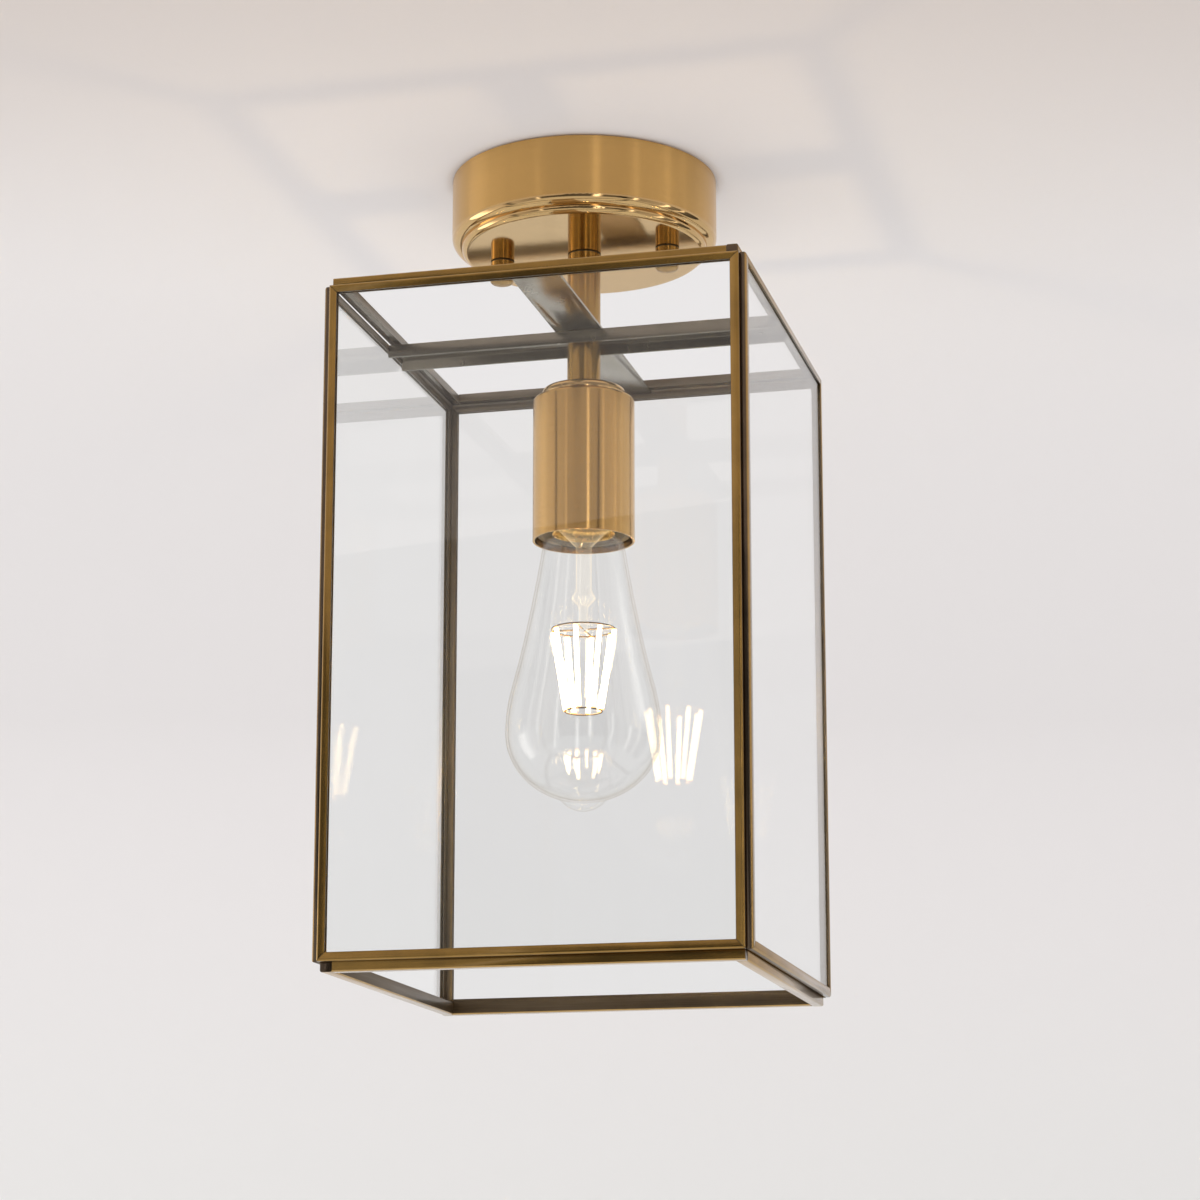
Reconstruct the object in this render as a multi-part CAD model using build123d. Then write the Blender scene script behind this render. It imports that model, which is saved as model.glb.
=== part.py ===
from build123d import *
from math import acos, asin, degrees, radians, sqrt, tan
import os

# A square glass lantern on a short stem, hung under a round ceiling canopy.
# Millimetres, +Z up. The origin is the middle of the ceiling face and the light hangs towards -Z.
# X runs along the line of the two thumb nuts, and the front of the lantern faces -Y.

# Ceiling canopy
CANOPY_RADIUS = 56.0
CANOPY_HEIGHT = 31.5
CANOPY_SHEET = 1.0
SHOULDER_RADIUS = 3.5  # upper quarter round of the polished edge
BEAD_RADIUS = 2.5  # lower quarter round of the polished edge
MOULDING_STEP = 0.5  # square step between the two

# Mounting strap
STRAP_WIDTH = 18.0
STRAP_SHEET = 1.5
STRAP_END_RADIUS = 4.0
STRAP_END_MARGIN = 4.6  # from the earth screw to the strap's end
PAD_DROP = 4.0  # how far the stud pads stand off the ceiling
PAD_MARGIN = 6.0  # flat of the pad from the stud to the joggle
SLOT_LENGTH = 12.0
SLOT_WIDTH = 4.5
SLOT_MARGIN = 2.0  # from a slot to the end of the flat middle
CABLE_HOLE_RADIUS = 6.0

# Studs and nuts that hold the canopy
STUD_SPACING = 72.0
STUD_RADIUS = 2.0
STUD_HEAD_RADIUS = 3.6
STUD_HEAD_HEIGHT = 2.2
STUD_ENGAGEMENT = 8.5  # stud inside the thumb nut
STUD_CLEARANCE = 0.25  # round the stud in the canopy
LOCK_NUT_FLATS = 7.0
LOCK_NUT_HEIGHT = 3.2
THREAD_CLEARANCE = 0.06  # radial, wherever one thread runs in another
THUMB_NUT_RADIUS = 5.0
THUMB_NUT_END_WALL = 1.5
THUMB_NUT_EDGE = 1.4
THUMB_NUT_CROWN = 0.5
BORE_END_GAP = 0.5
EARTH_SCREW_RADIUS = 1.75
EARTH_SCREW_HEAD_RADIUS = 3.2
EARTH_SCREW_HEAD_HEIGHT = 2.2
EARTH_SCREW_RISE = 1.0  # thread that stands out above the strap
EARTH_SCREW_OFFSET = 8.4  # from the stud
DRIVE_SLOT_WIDTH = 0.9  # driver slots in every screw head
DRIVE_SLOT_DEPTH = 0.8

# Stem
STEM_RADIUS = 7.0
STEM_WALL = 1.0
UPPER_STEM_LENGTH = 35.5
LOWER_STEM_LENGTH = 22.0
NIPPLE_RADIUS = 5.0
NIPPLE_BORE_RADIUS = 3.6
NIPPLE_RISE = 5.0  # above the stem nut
NIPPLE_REACH = 7.5  # into the lampholder
PASS_CLEARANCE = 0.1  # radial, round the nipple
STEM_NUT_FLATS = 14.0
STEM_NUT_HEIGHT = 3.5
EARTH_TAG_RADIUS = 10.0
EARTH_TAG_SHEET = 1.0
EARTH_TAG_WIDTH = 6.0
EARTH_TAG_REACH = 14.5

# Cross under the top rails
CROSS_WIDTH = 20.0
CROSS_SHEET = 1.2
CROSS_BAR_DEPTH = 5.4

# Lantern
LANTERN_WIDTH = 173.0
PANEL_HEIGHT = 272.5
GLASS_THICKNESS = 2.0
GLASS_CLEARANCE = 0.05  # each side of the pane
GLASS_EDGE_GAP = 0.25
CHANNEL_WALL = 0.65
CHANNEL_FACE = 3.5  # width of channel seen on each panel
CHANNEL_BEND = 1.2  # outside radius of the fold
SOLDER_GAP = 0.02  # between the rounded edges of neighbouring panels
RAIL_DEPTH = 4.8
RAIL_HEIGHT = 3.8
RAIL_EDGE = 0.8  # rounding of the edges away from the panels
RAIL_OVERLAP = 1.6  # height of a bottom rail behind its panel

# Lampholder
CUP_RADIUS = 21.25
CUP_LENGTH = 61.0
CUP_WALL = 0.9
CUP_TOP_SHEET = 1.2
CUP_EDGE_RADIUS = 1.1
CAP_RADIUS = 17.5
CAP_HEIGHT = 4.5
CAP_EDGE_RADIUS = 1.8
HOLDER_GAP = 1.05  # between the holder's skirt and the cup
HOLDER_NECK_RADIUS = 15.0
HOLDER_CONE = 3.0
HOLDER_SETBACK = 2.4  # the skirt's end above the cup's rim
HOLDER_MOUTH = 4.5  # depth of the flared mouth
HOLDER_MOUTH_WALL = 2.3
CHAMBER_RADIUS = 11.0
CHAMBER_HEIGHT = 8.0
CHAMBER_ROOF_GAP = 0.4  # from the nipple's end to the wiring chamber
HOLDER_FLOOR = 8.0
SHELL_WALL = 0.45
SHELL_FLANGE_RADIUS = 7.0
SHELL_CLEARANCE = 0.05
CONTACT_SHEET = 0.6
CONTACT_WIDTH = 6.0
CONTACT_BASE = 9.0
CONTACT_BEND = 1.2
CONTACT_HEIGHT = 7.2
CONTACT_GAP = 0.3

# Bulb, stations measured down from its end contact
BULB_RADIUS = 32.0
BULB_WIDEST = 109.7
BULB_BOTTOM_DEPTH = 28.5  # from the widest section to the glass bottom
BULB_GLASS = 0.9
BULB_NUB_RADIUS = 9.6
BULB_NUB_HEIGHT = 5.1
BULB_NECK_LENGTH = 8.5
BULB_NECK_SHOW = 0.5  # neck below the screw cap
BULB_SHOULDER_DEPTH = 3.5
BULB_SHOULDER_RADIUS = 16.8
BULB_FLANK = [(51.0, 20.5), (85.3, 28.0)]  # station and radius on the tapering flank
BULB_FLANK_LEAN = 0.15  # outward slope where the flank starts
BULB_CAP_RADIUS = 13.05
BULB_CAP_WALL = 0.5
BULB_CAP_TOP = 4.1
BULB_CAP_END = 25.5
BULB_CAP_SLOPE = 1.8
CEMENT_GAP = 0.15  # between the glass neck and the screw cap
INSULATOR_RADIUS = 11.2
TIP_RADIUS = 4.8
TIP_HEIGHT = 1.6
SCREW_CLEARANCE = 0.35  # radial, between the bulb's cap and the lampholder's shell

# Glass stem and filaments inside the bulb, stations as above
MOUNT_SETBACK = 1.5  # from the neck's end to the flare
MOUNT_FLARE_DEPTH = 12.0
MOUNT_ROD_RADIUS = 3.2
MOUNT_BULGE_STATION = 53.0
MOUNT_BULGE_RADIUS = 5.0
MOUNT_BULGE_LENGTH = 7.0
MOUNT_TIP_RADIUS = 1.8
MOUNT_OVERRUN = 1.0  # rod below the filaments' upper ends
MOUNT_GAP = 0.1  # between the flare and the glass neck
FILAMENT_COUNT = 8
FILAMENT_RADIUS = 0.9
FILAMENT_TOP_RING = 13.1
FILAMENT_BOTTOM_RING = 7.6
FILAMENT_TOP = 66.5
FILAMENT_BOTTOM = 100.0
SUPPORT_WIRE_RADIUS = 0.3
SUPPORT_WIRE_GAP = 0.02  # between the wires and the filaments' ends

# Wiring inside the canopy and the stem
BLOCK_POLES = 3
BLOCK_POLE_PITCH = 9.0
BLOCK_POLE_WIDTH = 7.0
BLOCK_DEPTH = 14.0
BLOCK_HEIGHT = 9.0
BLOCK_WEB_HEIGHT = 4.5
BLOCK_WEB_DEPTH = 8.0
BLOCK_FRONT = 18.0  # from the stem's axis
BLOCK_EDGE = 0.8
TOWER_RADIUS = 2.7
TOWER_HEIGHT = 2.5
TOWER_INSET = 3.5  # from the block's front and back
TERMINAL_SCREW_RADIUS = 1.6
TERMINAL_SCREW_LENGTH = 4.0
TERMINAL_SCREW_DEPTH = 1.2  # below the tower's rim
TERMINAL_CLEARANCE = 0.1
WIRE_RADIUS = 0.9
WIRE_HOLE_CLEARANCE = 0.3
WIRE_ENTRY_HEIGHT = 4.0  # above the block's base
WIRE_ENTRY_DEPTH = 3.0
WIRE_SPACING = 3.4  # between the two wires in the nipple
WIRE_LEAD = 5.5  # straight out of the block
WIRE_PEAK = 12.0  # below the ceiling
WIRE_BEND = 4.0
EARTH_BEND = 2.5
WIRE_WALL_GAP = 0.6  # between the neutral wire and the chamber's wall
WIRE_KINK_MARGIN = 1.6  # from the chamber's ends to the neutral wire's kink

# Levels that follow from the sizes above
PLATE = -CANOPY_HEIGHT
CANOPY_FLOOR = PLATE + CANOPY_SHEET
CROSS_TOP = PLATE - UPPER_STEM_LENGTH
CROSS_WEB_TOP = CROSS_TOP - CROSS_SHEET
CROSS_WEB_UNDERSIDE = CROSS_WEB_TOP - CROSS_SHEET
PANEL_TOP = CROSS_TOP
PANEL_BOTTOM = PANEL_TOP - PANEL_HEIGHT
CAP_TOP = CROSS_WEB_UNDERSIDE - LOWER_STEM_LENGTH
CUP_TOP = CAP_TOP - CAP_HEIGHT
CUP_RIM = CUP_TOP - CUP_LENGTH
HOLDER_TOP = CUP_TOP - CUP_TOP_SHEET
NIPPLE_END = HOLDER_TOP - NIPPLE_REACH
CHAMBER_TOP = NIPPLE_END - CHAMBER_ROOF_GAP
CHAMBER_BOTTOM = CHAMBER_TOP - CHAMBER_HEIGHT
SOCKET_TOP = CHAMBER_BOTTOM - HOLDER_FLOOR
SKIRT_END = CUP_RIM + HOLDER_SETBACK
MOUTH_TOP = SKIRT_END + HOLDER_MOUTH
CONTACT_TIP = SOCKET_TOP - CONTACT_HEIGHT
BULB_TOP = CONTACT_TIP - CONTACT_GAP
PAD_TOP = -PAD_DROP
PAD_UNDERSIDE = PAD_TOP - STRAP_SHEET
EARTH_TAG_TOP = CANOPY_FLOOR + EARTH_TAG_SHEET
STEM_NUT_TOP = EARTH_TAG_TOP + STEM_NUT_HEIGHT
NIPPLE_TOP = STEM_NUT_TOP + NIPPLE_RISE

# Radii and widths that follow from the sizes above
CHANNEL_THICKNESS = GLASS_THICKNESS + 2 * GLASS_CLEARANCE + 2 * CHANNEL_WALL
PANEL_INSIDE = LANTERN_WIDTH / 2 - CHANNEL_THICKNESS
PANEL_END = PANEL_INSIDE + (2 - sqrt(2)) * CHANNEL_BEND - SOLDER_GAP  # where neighbouring folds touch
NIPPLE_HOLE = NIPPLE_RADIUS + PASS_CLEARANCE
SKIRT_RADIUS = CUP_RADIUS - CUP_WALL - HOLDER_GAP
SHELL_INSIDE = BULB_CAP_RADIUS + SCREW_CLEARANCE
SHELL_OUTSIDE = SHELL_INSIDE + SHELL_WALL
THUMB_NUT_BORE = STUD_RADIUS + THREAD_CLEARANCE
THUMB_NUT_BORE_DEPTH = STUD_ENGAGEMENT + BORE_END_GAP
THUMB_NUT_LENGTH = THUMB_NUT_BORE_DEPTH + THUMB_NUT_END_WALL
NEUTRAL_OFFSET = CHAMBER_RADIUS - WIRE_RADIUS - WIRE_WALL_GAP  # where the neutral wire meets the shell
STUD_X = STUD_SPACING / 2
EARTH_SCREW_X = STUD_X + EARTH_SCREW_OFFSET
STRAP_END = EARTH_SCREW_X + STRAP_END_MARGIN
STRAP_LAND = STUD_X - PAD_MARGIN - PAD_DROP  # half of the flat middle that lies on the ceiling
SLOT_X = STRAP_LAND - SLOT_MARGIN - SLOT_LENGTH / 2
BULB_NECK_RADIUS = BULB_CAP_RADIUS - BULB_CAP_WALL - CEMENT_GAP

# Stations on the bulb that follow from the sizes above
BULB_NECK_END = BULB_CAP_END + BULB_NECK_SHOW
BULB_NECK_TOP = BULB_NECK_END - BULB_NECK_LENGTH
BULB_SHOULDER_END = BULB_NECK_END + BULB_SHOULDER_DEPTH
MOUNT_FLARE_STATION = BULB_NECK_TOP + MOUNT_SETBACK
MOUNT_END = FILAMENT_TOP + MOUNT_OVERRUN

FRONT, RIGHT, BACK, LEFT = 0, 90, 180, 270  # turn of each side from the front, about +Z
SIDES = {"front": FRONT, "right": RIGHT, "back": BACK, "left": LEFT}


def turned(edges):
    """Solid of revolution about Z from a closed outline drawn as radius and height."""
    return revolve(make_face([Plane.XZ * edge for edge in edges]), Axis.Z)


def turned_polygon(points):
    """Solid of revolution about Z from straight runs only."""
    return revolve(make_face(Plane.XZ * Polyline(*points, close=True)), Axis.Z)


def crown(radius, rim, end):
    """Arc from a rim to the axis, centred on the axis, that domes up or down to its end."""
    height = abs(rim - end)
    sphere = (radius ** 2 + height ** 2) / (2 * height)
    spread = degrees(asin(radius / sphere))
    if end < rim:
        return CenterArc((0, end + sphere), sphere, spread - 90, -spread)
    return CenterArc((0, end - sphere), sphere, 90 - spread, spread)


def tube(outer, inner, top, bottom):
    """Upright ring or tube between two levels."""
    middle = Pos(0, 0, (top + bottom) / 2)
    return middle * (Cylinder(outer, top - bottom) - Cylinder(inner, top - bottom))


def rod(radius, top, bottom):
    """Upright round bar between two levels."""
    return Pos(0, 0, (top + bottom) / 2) * Cylinder(radius, top - bottom)


def block(x_range, y_range, z_range):
    """Box given by its limits along each axis."""
    sizes = [high - low for low, high in (x_range, y_range, z_range)]
    centre = [(high + low) / 2 for low, high in (x_range, y_range, z_range)]
    return Pos(*centre) * Box(*sizes)


def drive_slot(head_radius, face, depth):
    """Driver slot across a screw head, cut from its face by a depth that is negative downwards."""
    half = DRIVE_SLOT_WIDTH / 2
    return block((-head_radius, head_radius), (-half, half), sorted((face, face + depth)))


def hex_nut(flats, bore, top, bottom):
    """Hexagon nut with a plain bore."""
    outline = RegularPolygon(flats / 2, 6, major_radius=False) - Circle(bore)
    return Pos(0, 0, bottom) * extrude(outline, top - bottom)


# Ceiling canopy and what holds it

def canopy():
    """Spun drum with a polished two-step edge and a flat plate, open to the ceiling."""
    side_end = PLATE + BEAD_RADIUS + MOULDING_STEP + SHOULDER_RADIUS
    shoulder_x = CANOPY_RADIUS - SHOULDER_RADIUS
    step_z = side_end - SHOULDER_RADIUS
    step_x = shoulder_x - MOULDING_STEP
    bead_z = step_z - MOULDING_STEP
    bead_x = step_x - BEAD_RADIUS
    inside = CANOPY_RADIUS - CANOPY_SHEET
    inner_step_x = step_x - CANOPY_SHEET
    inner_step_z = step_z + CANOPY_SHEET
    shell = turned([
        Line((CANOPY_RADIUS, 0), (CANOPY_RADIUS, side_end)),
        CenterArc((shoulder_x, side_end), SHOULDER_RADIUS, 0, -90),
        Line((shoulder_x, step_z), (step_x, step_z)),
        Line((step_x, step_z), (step_x, bead_z)),
        CenterArc((bead_x, bead_z), BEAD_RADIUS, 0, -90),
        Line((bead_x, PLATE), (0, PLATE)),
        Line((0, PLATE), (0, CANOPY_FLOOR)),
        Line((0, CANOPY_FLOOR), (bead_x, CANOPY_FLOOR)),
        CenterArc((bead_x, bead_z), BEAD_RADIUS - CANOPY_SHEET, -90, 90),
        Line((inner_step_x, bead_z), (inner_step_x, inner_step_z)),
        Line((inner_step_x, inner_step_z), (shoulder_x, inner_step_z)),
        CenterArc((shoulder_x, side_end), SHOULDER_RADIUS - CANOPY_SHEET, -90, 90),
        Line((inside, side_end), (inside, 0)),
        Line((inside, 0), (CANOPY_RADIUS, 0)),
    ])
    drill = rod(NIPPLE_HOLE, CANOPY_FLOOR, PLATE)
    for x in (-STUD_X, STUD_X):
        drill += Pos(x, 0, 0) * rod(STUD_RADIUS + STUD_CLEARANCE, CANOPY_FLOOR, PLATE)
    return shell - drill


def mounting_strap():
    """Joggled strip: slotted middle on the ceiling, stud pads standing off it."""
    land = STRAP_LAND
    end = STRAP_END
    pad = land + PAD_DROP
    shear = STRAP_SHEET * tan(radians(45 / 2))
    upper = [(-end, PAD_TOP), (-pad, PAD_TOP), (-land, 0), (land, 0), (pad, PAD_TOP), (end, PAD_TOP)]
    lower = [
        (end, PAD_UNDERSIDE), (pad - shear, PAD_UNDERSIDE), (land - shear, -STRAP_SHEET),
        (shear - land, -STRAP_SHEET), (shear - pad, PAD_UNDERSIDE), (-end, PAD_UNDERSIDE),
    ]
    side = make_face(Plane.XZ * Polyline(*upper, *lower, close=True))
    strap = extrude(side, STRAP_WIDTH / 2, both=True)
    upright = strap.edges().filter_by(Axis.Z).group_by(Axis.X)
    strap = fillet(upright[0] + upright[-1], STRAP_END_RADIUS)
    strap -= rod(CABLE_HOLE_RADIUS, 0, -STRAP_SHEET)
    slot = Pos(0, 0, -STRAP_SHEET) * extrude(SlotOverall(SLOT_LENGTH, SLOT_WIDTH), STRAP_SHEET)
    for side_sign in (-1, 1):
        strap -= Pos(side_sign * SLOT_X, 0, 0) * slot
        strap -= Pos(side_sign * STUD_X, 0, 0) * rod(STUD_RADIUS + THREAD_CLEARANCE, PAD_TOP, PAD_UNDERSIDE)
    strap -= Pos(EARTH_SCREW_X, 0, 0) * rod(EARTH_SCREW_RADIUS + THREAD_CLEARANCE, PAD_TOP, PAD_UNDERSIDE)
    return strap


def canopy_studs():
    """Two machine screws that hang from the strap's pads through the canopy."""
    stud = rod(STUD_RADIUS, PAD_TOP, PLATE - STUD_ENGAGEMENT)
    head_top = PAD_TOP + STUD_HEAD_HEIGHT
    stud += rod(STUD_HEAD_RADIUS, head_top, PAD_TOP)
    stud -= drive_slot(STUD_HEAD_RADIUS, head_top, -DRIVE_SLOT_DEPTH)
    return [Pos(x, 0, 0) * stud for x in (-STUD_X, STUD_X)]


def lock_nuts():
    """Hexagon nuts that lock the studs to the strap."""
    bore = STUD_RADIUS + THREAD_CLEARANCE
    nut = hex_nut(LOCK_NUT_FLATS, bore, PAD_UNDERSIDE, PAD_UNDERSIDE - LOCK_NUT_HEIGHT)
    return [Pos(x, 0, 0) * nut for x in (-STUD_X, STUD_X)]


def earth_screw():
    """Earth terminal screw at the end of the strap, head down."""
    screw = rod(EARTH_SCREW_RADIUS, PAD_TOP + EARTH_SCREW_RISE, PAD_UNDERSIDE)
    head_end = PAD_UNDERSIDE - EARTH_SCREW_HEAD_HEIGHT
    screw += rod(EARTH_SCREW_HEAD_RADIUS, PAD_UNDERSIDE, head_end)
    screw -= drive_slot(EARTH_SCREW_HEAD_RADIUS, head_end, DRIVE_SLOT_DEPTH)
    return Pos(EARTH_SCREW_X, 0, 0) * screw


def thumb_nut(x):
    """Round blind nut under the canopy plate, with a rounded and slightly crowned end."""
    end = PLATE - THUMB_NUT_LENGTH
    edge_z = end + THUMB_NUT_CROWN
    edge_x = THUMB_NUT_RADIUS - THUMB_NUT_EDGE
    bore_end = PLATE - THUMB_NUT_BORE_DEPTH
    nut = turned([
        Line((THUMB_NUT_BORE, PLATE), (THUMB_NUT_RADIUS, PLATE)),
        Line((THUMB_NUT_RADIUS, PLATE), (THUMB_NUT_RADIUS, edge_z + THUMB_NUT_EDGE)),
        CenterArc((edge_x, edge_z + THUMB_NUT_EDGE), THUMB_NUT_EDGE, 0, -90),
        crown(edge_x, edge_z, end),
        Line((0, end), (0, bore_end)),
        Line((0, bore_end), (THUMB_NUT_BORE, bore_end)),
        Line((THUMB_NUT_BORE, bore_end), (THUMB_NUT_BORE, PLATE)),
    ])
    return Pos(x, 0, 0) * nut


# Stem

def nipple():
    """Hollow threaded rod that clamps canopy, stem, cross and lampholder together."""
    return tube(NIPPLE_RADIUS, NIPPLE_BORE_RADIUS, NIPPLE_TOP, NIPPLE_END)


def stem_nut():
    """Nut on top of the nipple, inside the canopy."""
    return hex_nut(STEM_NUT_FLATS, NIPPLE_RADIUS + THREAD_CLEARANCE, STEM_NUT_TOP, EARTH_TAG_TOP)


def earth_tag():
    """Ring tag under the stem nut, with a tab for the earth wire."""
    ring = Circle(EARTH_TAG_RADIUS) - Circle(NIPPLE_HOLE)
    tab_start = (NIPPLE_HOLE + EARTH_TAG_RADIUS) / 2
    tab_middle = (tab_start + EARTH_TAG_REACH) / 2
    ring += Pos(0, tab_middle) * Rectangle(EARTH_TAG_WIDTH, EARTH_TAG_REACH - tab_start)
    return Pos(0, 0, CANOPY_FLOOR) * extrude(ring, EARTH_TAG_SHEET)


def upper_stem():
    """Tube from the canopy plate to the cross."""
    return tube(STEM_RADIUS, STEM_RADIUS - STEM_WALL, PLATE, CROSS_TOP)


def lower_stem():
    """Tube from the cross to the lampholder's cap."""
    return tube(STEM_RADIUS, STEM_RADIUS - STEM_WALL, CROSS_WEB_UNDERSIDE, CAP_TOP)


def cross_strap():
    """Flat strip from front to back under the top rails."""
    half = CROSS_WIDTH / 2
    strip = block((-half, half), (-PANEL_INSIDE, PANEL_INSIDE), (CROSS_WEB_TOP, CROSS_TOP))
    return strip - rod(NIPPLE_HOLE, CROSS_TOP, CROSS_WEB_TOP)


def cross_bar():
    """Folded channel from left to right under the strip, with its flanges turned down."""
    half = CROSS_WIDTH / 2
    bottom = CROSS_WEB_TOP - CROSS_BAR_DEPTH
    along = (-PANEL_INSIDE, PANEL_INSIDE)
    bar = block(along, (-half, half), (bottom, CROSS_WEB_TOP))
    bar -= block(along, (CROSS_SHEET - half, half - CROSS_SHEET), (bottom, CROSS_WEB_UNDERSIDE))
    return bar - rod(NIPPLE_HOLE, CROSS_WEB_TOP, CROSS_WEB_UNDERSIDE)


# Lantern panels and rails, drawn for the front and turned to each side

def to_side(piece, turn):
    """Turn a piece drawn for the front to another side of the lantern."""
    return Rot(0, 0, turn) * piece


def panel_limits():
    """Left, right, bottom and top of one panel, seen from outside."""
    return -PANEL_END, PANEL_END, PANEL_BOTTOM, PANEL_TOP


def channel(run):
    """Folded U channel along X with mitred ends, its back on Z = 0 and its mouth upwards."""
    from_back = (Align.CENTER, Align.MIN)
    section = Rectangle(CHANNEL_THICKNESS, CHANNEL_FACE, align=from_back)
    section = fillet(section.vertices().group_by(Axis.Y)[0], CHANNEL_BEND)
    groove_width = CHANNEL_THICKNESS - 2 * CHANNEL_WALL
    section -= Pos(0, CHANNEL_WALL) * Rectangle(groove_width, CHANNEL_FACE - CHANNEL_WALL, align=from_back)
    outer, inner = run / 2, run / 2 - CHANNEL_FACE
    mitres = [(-outer, 0), (outer, 0), (inner, CHANNEL_FACE), (-inner, CHANNEL_FACE)]
    cut = extrude(make_face(Plane.XZ * Polyline(*mitres, close=True)), CHANNEL_THICKNESS, both=True)
    return extrude(Plane.YZ * section, outer, both=True) & cut


def panel_channels():
    """Four mitred U channels that edge one pane: top, bottom, left and right."""
    left, right, bottom, top = panel_limits()
    middle_x, middle_z = (left + right) / 2, (bottom + top) / 2
    y = (CHANNEL_THICKNESS - LANTERN_WIDTH) / 2
    across = channel(right - left)
    upright = channel(top - bottom)
    return {
        "top": Pos(middle_x, y, top) * Rot(0, 180, 0) * across,
        "bottom": Pos(middle_x, y, bottom) * across,
        "left": Pos(left, y, middle_z) * Rot(0, 90, 0) * upright,
        "right": Pos(right, y, middle_z) * Rot(0, -90, 0) * upright,
    }


def pane():
    """Sheet of clear glass held in the channels."""
    left, right, bottom, top = panel_limits()
    rim = CHANNEL_WALL + GLASS_EDGE_GAP
    front = -LANTERN_WIDTH / 2 + CHANNEL_WALL + GLASS_CLEARANCE
    return block((left + rim, right - rim), (front, front + GLASS_THICKNESS), (bottom + rim, top - rim))


def top_rail():
    """Bar along the top of one panel, butted against the next one."""
    y_range = (-PANEL_INSIDE, RAIL_DEPTH - PANEL_INSIDE)
    z_range = (PANEL_TOP, PANEL_TOP + RAIL_HEIGHT)
    bar = block((-PANEL_INSIDE, PANEL_INSIDE - RAIL_DEPTH), y_range, z_range)
    return fillet(bar.edges().filter_by(Axis.X).group_by(Axis.Z)[-1], RAIL_EDGE)


def bottom_rail():
    """Bar inside the bottom edge of one panel and below it, butted the other way round."""
    y_range = (-PANEL_INSIDE, RAIL_DEPTH - PANEL_INSIDE)
    z_range = (PANEL_BOTTOM - RAIL_HEIGHT, PANEL_BOTTOM + RAIL_OVERLAP)
    bar = block((RAIL_DEPTH - PANEL_INSIDE, PANEL_INSIDE), y_range, z_range)
    return fillet(bar.edges().filter_by(Axis.X).group_by(Axis.Z)[0], RAIL_EDGE)


# Lampholder

def cup_cap():
    """Turned disc with rounded edges on top of the cup."""
    disc = tube(CAP_RADIUS, NIPPLE_HOLE, CAP_TOP, CUP_TOP)
    rims = disc.edges().filter_by(GeomType.CIRCLE).group_by(SortBy.RADIUS)[-1]
    return fillet(rims, CAP_EDGE_RADIUS)


def lampholder_cup():
    """Thin spun cup that covers the lampholder, open at the bottom."""
    inside = CUP_RADIUS - CUP_WALL
    edge_x = CUP_RADIUS - CUP_EDGE_RADIUS
    edge_z = CUP_TOP - CUP_EDGE_RADIUS
    return turned([
        Line((NIPPLE_HOLE, CUP_TOP), (edge_x, CUP_TOP)),
        CenterArc((edge_x, edge_z), CUP_EDGE_RADIUS, 90, -90),
        Line((CUP_RADIUS, edge_z), (CUP_RADIUS, CUP_RIM)),
        Line((CUP_RADIUS, CUP_RIM), (inside, CUP_RIM)),
        Line((inside, CUP_RIM), (inside, HOLDER_TOP)),
        Line((inside, HOLDER_TOP), (NIPPLE_HOLE, HOLDER_TOP)),
        Line((NIPPLE_HOLE, HOLDER_TOP), (NIPPLE_HOLE, CUP_TOP)),
    ])


def live_wire_drop():
    """Where the live wire runs down the nipple and through the holder's floor."""
    return -WIRE_SPACING / 2


def holder_body():
    """Moulded lampholder: threaded neck, wiring chamber, floor and flared skirt."""
    bore = SHELL_OUTSIDE + SHELL_CLEARANCE
    cone_end = CHAMBER_BOTTOM - HOLDER_CONE
    body = turned_polygon([
        (NIPPLE_RADIUS + THREAD_CLEARANCE, HOLDER_TOP), (HOLDER_NECK_RADIUS, HOLDER_TOP),
        (HOLDER_NECK_RADIUS, CHAMBER_BOTTOM), (SKIRT_RADIUS, cone_end),
        (SKIRT_RADIUS, SKIRT_END), (SKIRT_RADIUS - HOLDER_MOUTH_WALL, SKIRT_END),
        (bore, MOUTH_TOP), (bore, SOCKET_TOP), (0, SOCKET_TOP), (0, CHAMBER_BOTTOM),
        (CHAMBER_RADIUS, CHAMBER_BOTTOM), (CHAMBER_RADIUS, CHAMBER_TOP),
        (NIPPLE_RADIUS + THREAD_CLEARANCE, CHAMBER_TOP),
    ])
    for x in (live_wire_drop(), NEUTRAL_OFFSET):
        body -= Pos(x, 0, 0) * rod(WIRE_RADIUS + WIRE_HOLE_CLEARANCE, CHAMBER_BOTTOM, SOCKET_TOP)
    return body


def holder_shell():
    """Screw shell of the lampholder, with a flange under the floor."""
    flange_end = SOCKET_TOP - SHELL_WALL
    return turned_polygon([
        (SHELL_FLANGE_RADIUS, SOCKET_TOP), (SHELL_OUTSIDE, SOCKET_TOP), (SHELL_OUTSIDE, MOUTH_TOP),
        (SHELL_INSIDE, MOUTH_TOP), (SHELL_INSIDE, flange_end), (SHELL_FLANGE_RADIUS, flange_end),
    ])


def holder_contact():
    """Bent strip under the holder's floor that presses on the bulb's end."""
    half_sheet = CONTACT_SHEET / 2
    base_z = SOCKET_TOP - half_sheet
    tip_z = CONTACT_TIP + half_sheet
    end = CONTACT_BASE / 2
    path = FilletPolyline((-end, base_z), (end, base_z), (end, tip_z), (-end / 2, tip_z), radius=CONTACT_BEND)
    strip = Plane.XZ * trace(path, CONTACT_SHEET)
    return extrude(strip, CONTACT_WIDTH / 2, both=True)


# Bulb

def station(depth):
    """Level of a section of the bulb, given its distance from the end contact."""
    return BULB_TOP - depth


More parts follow.
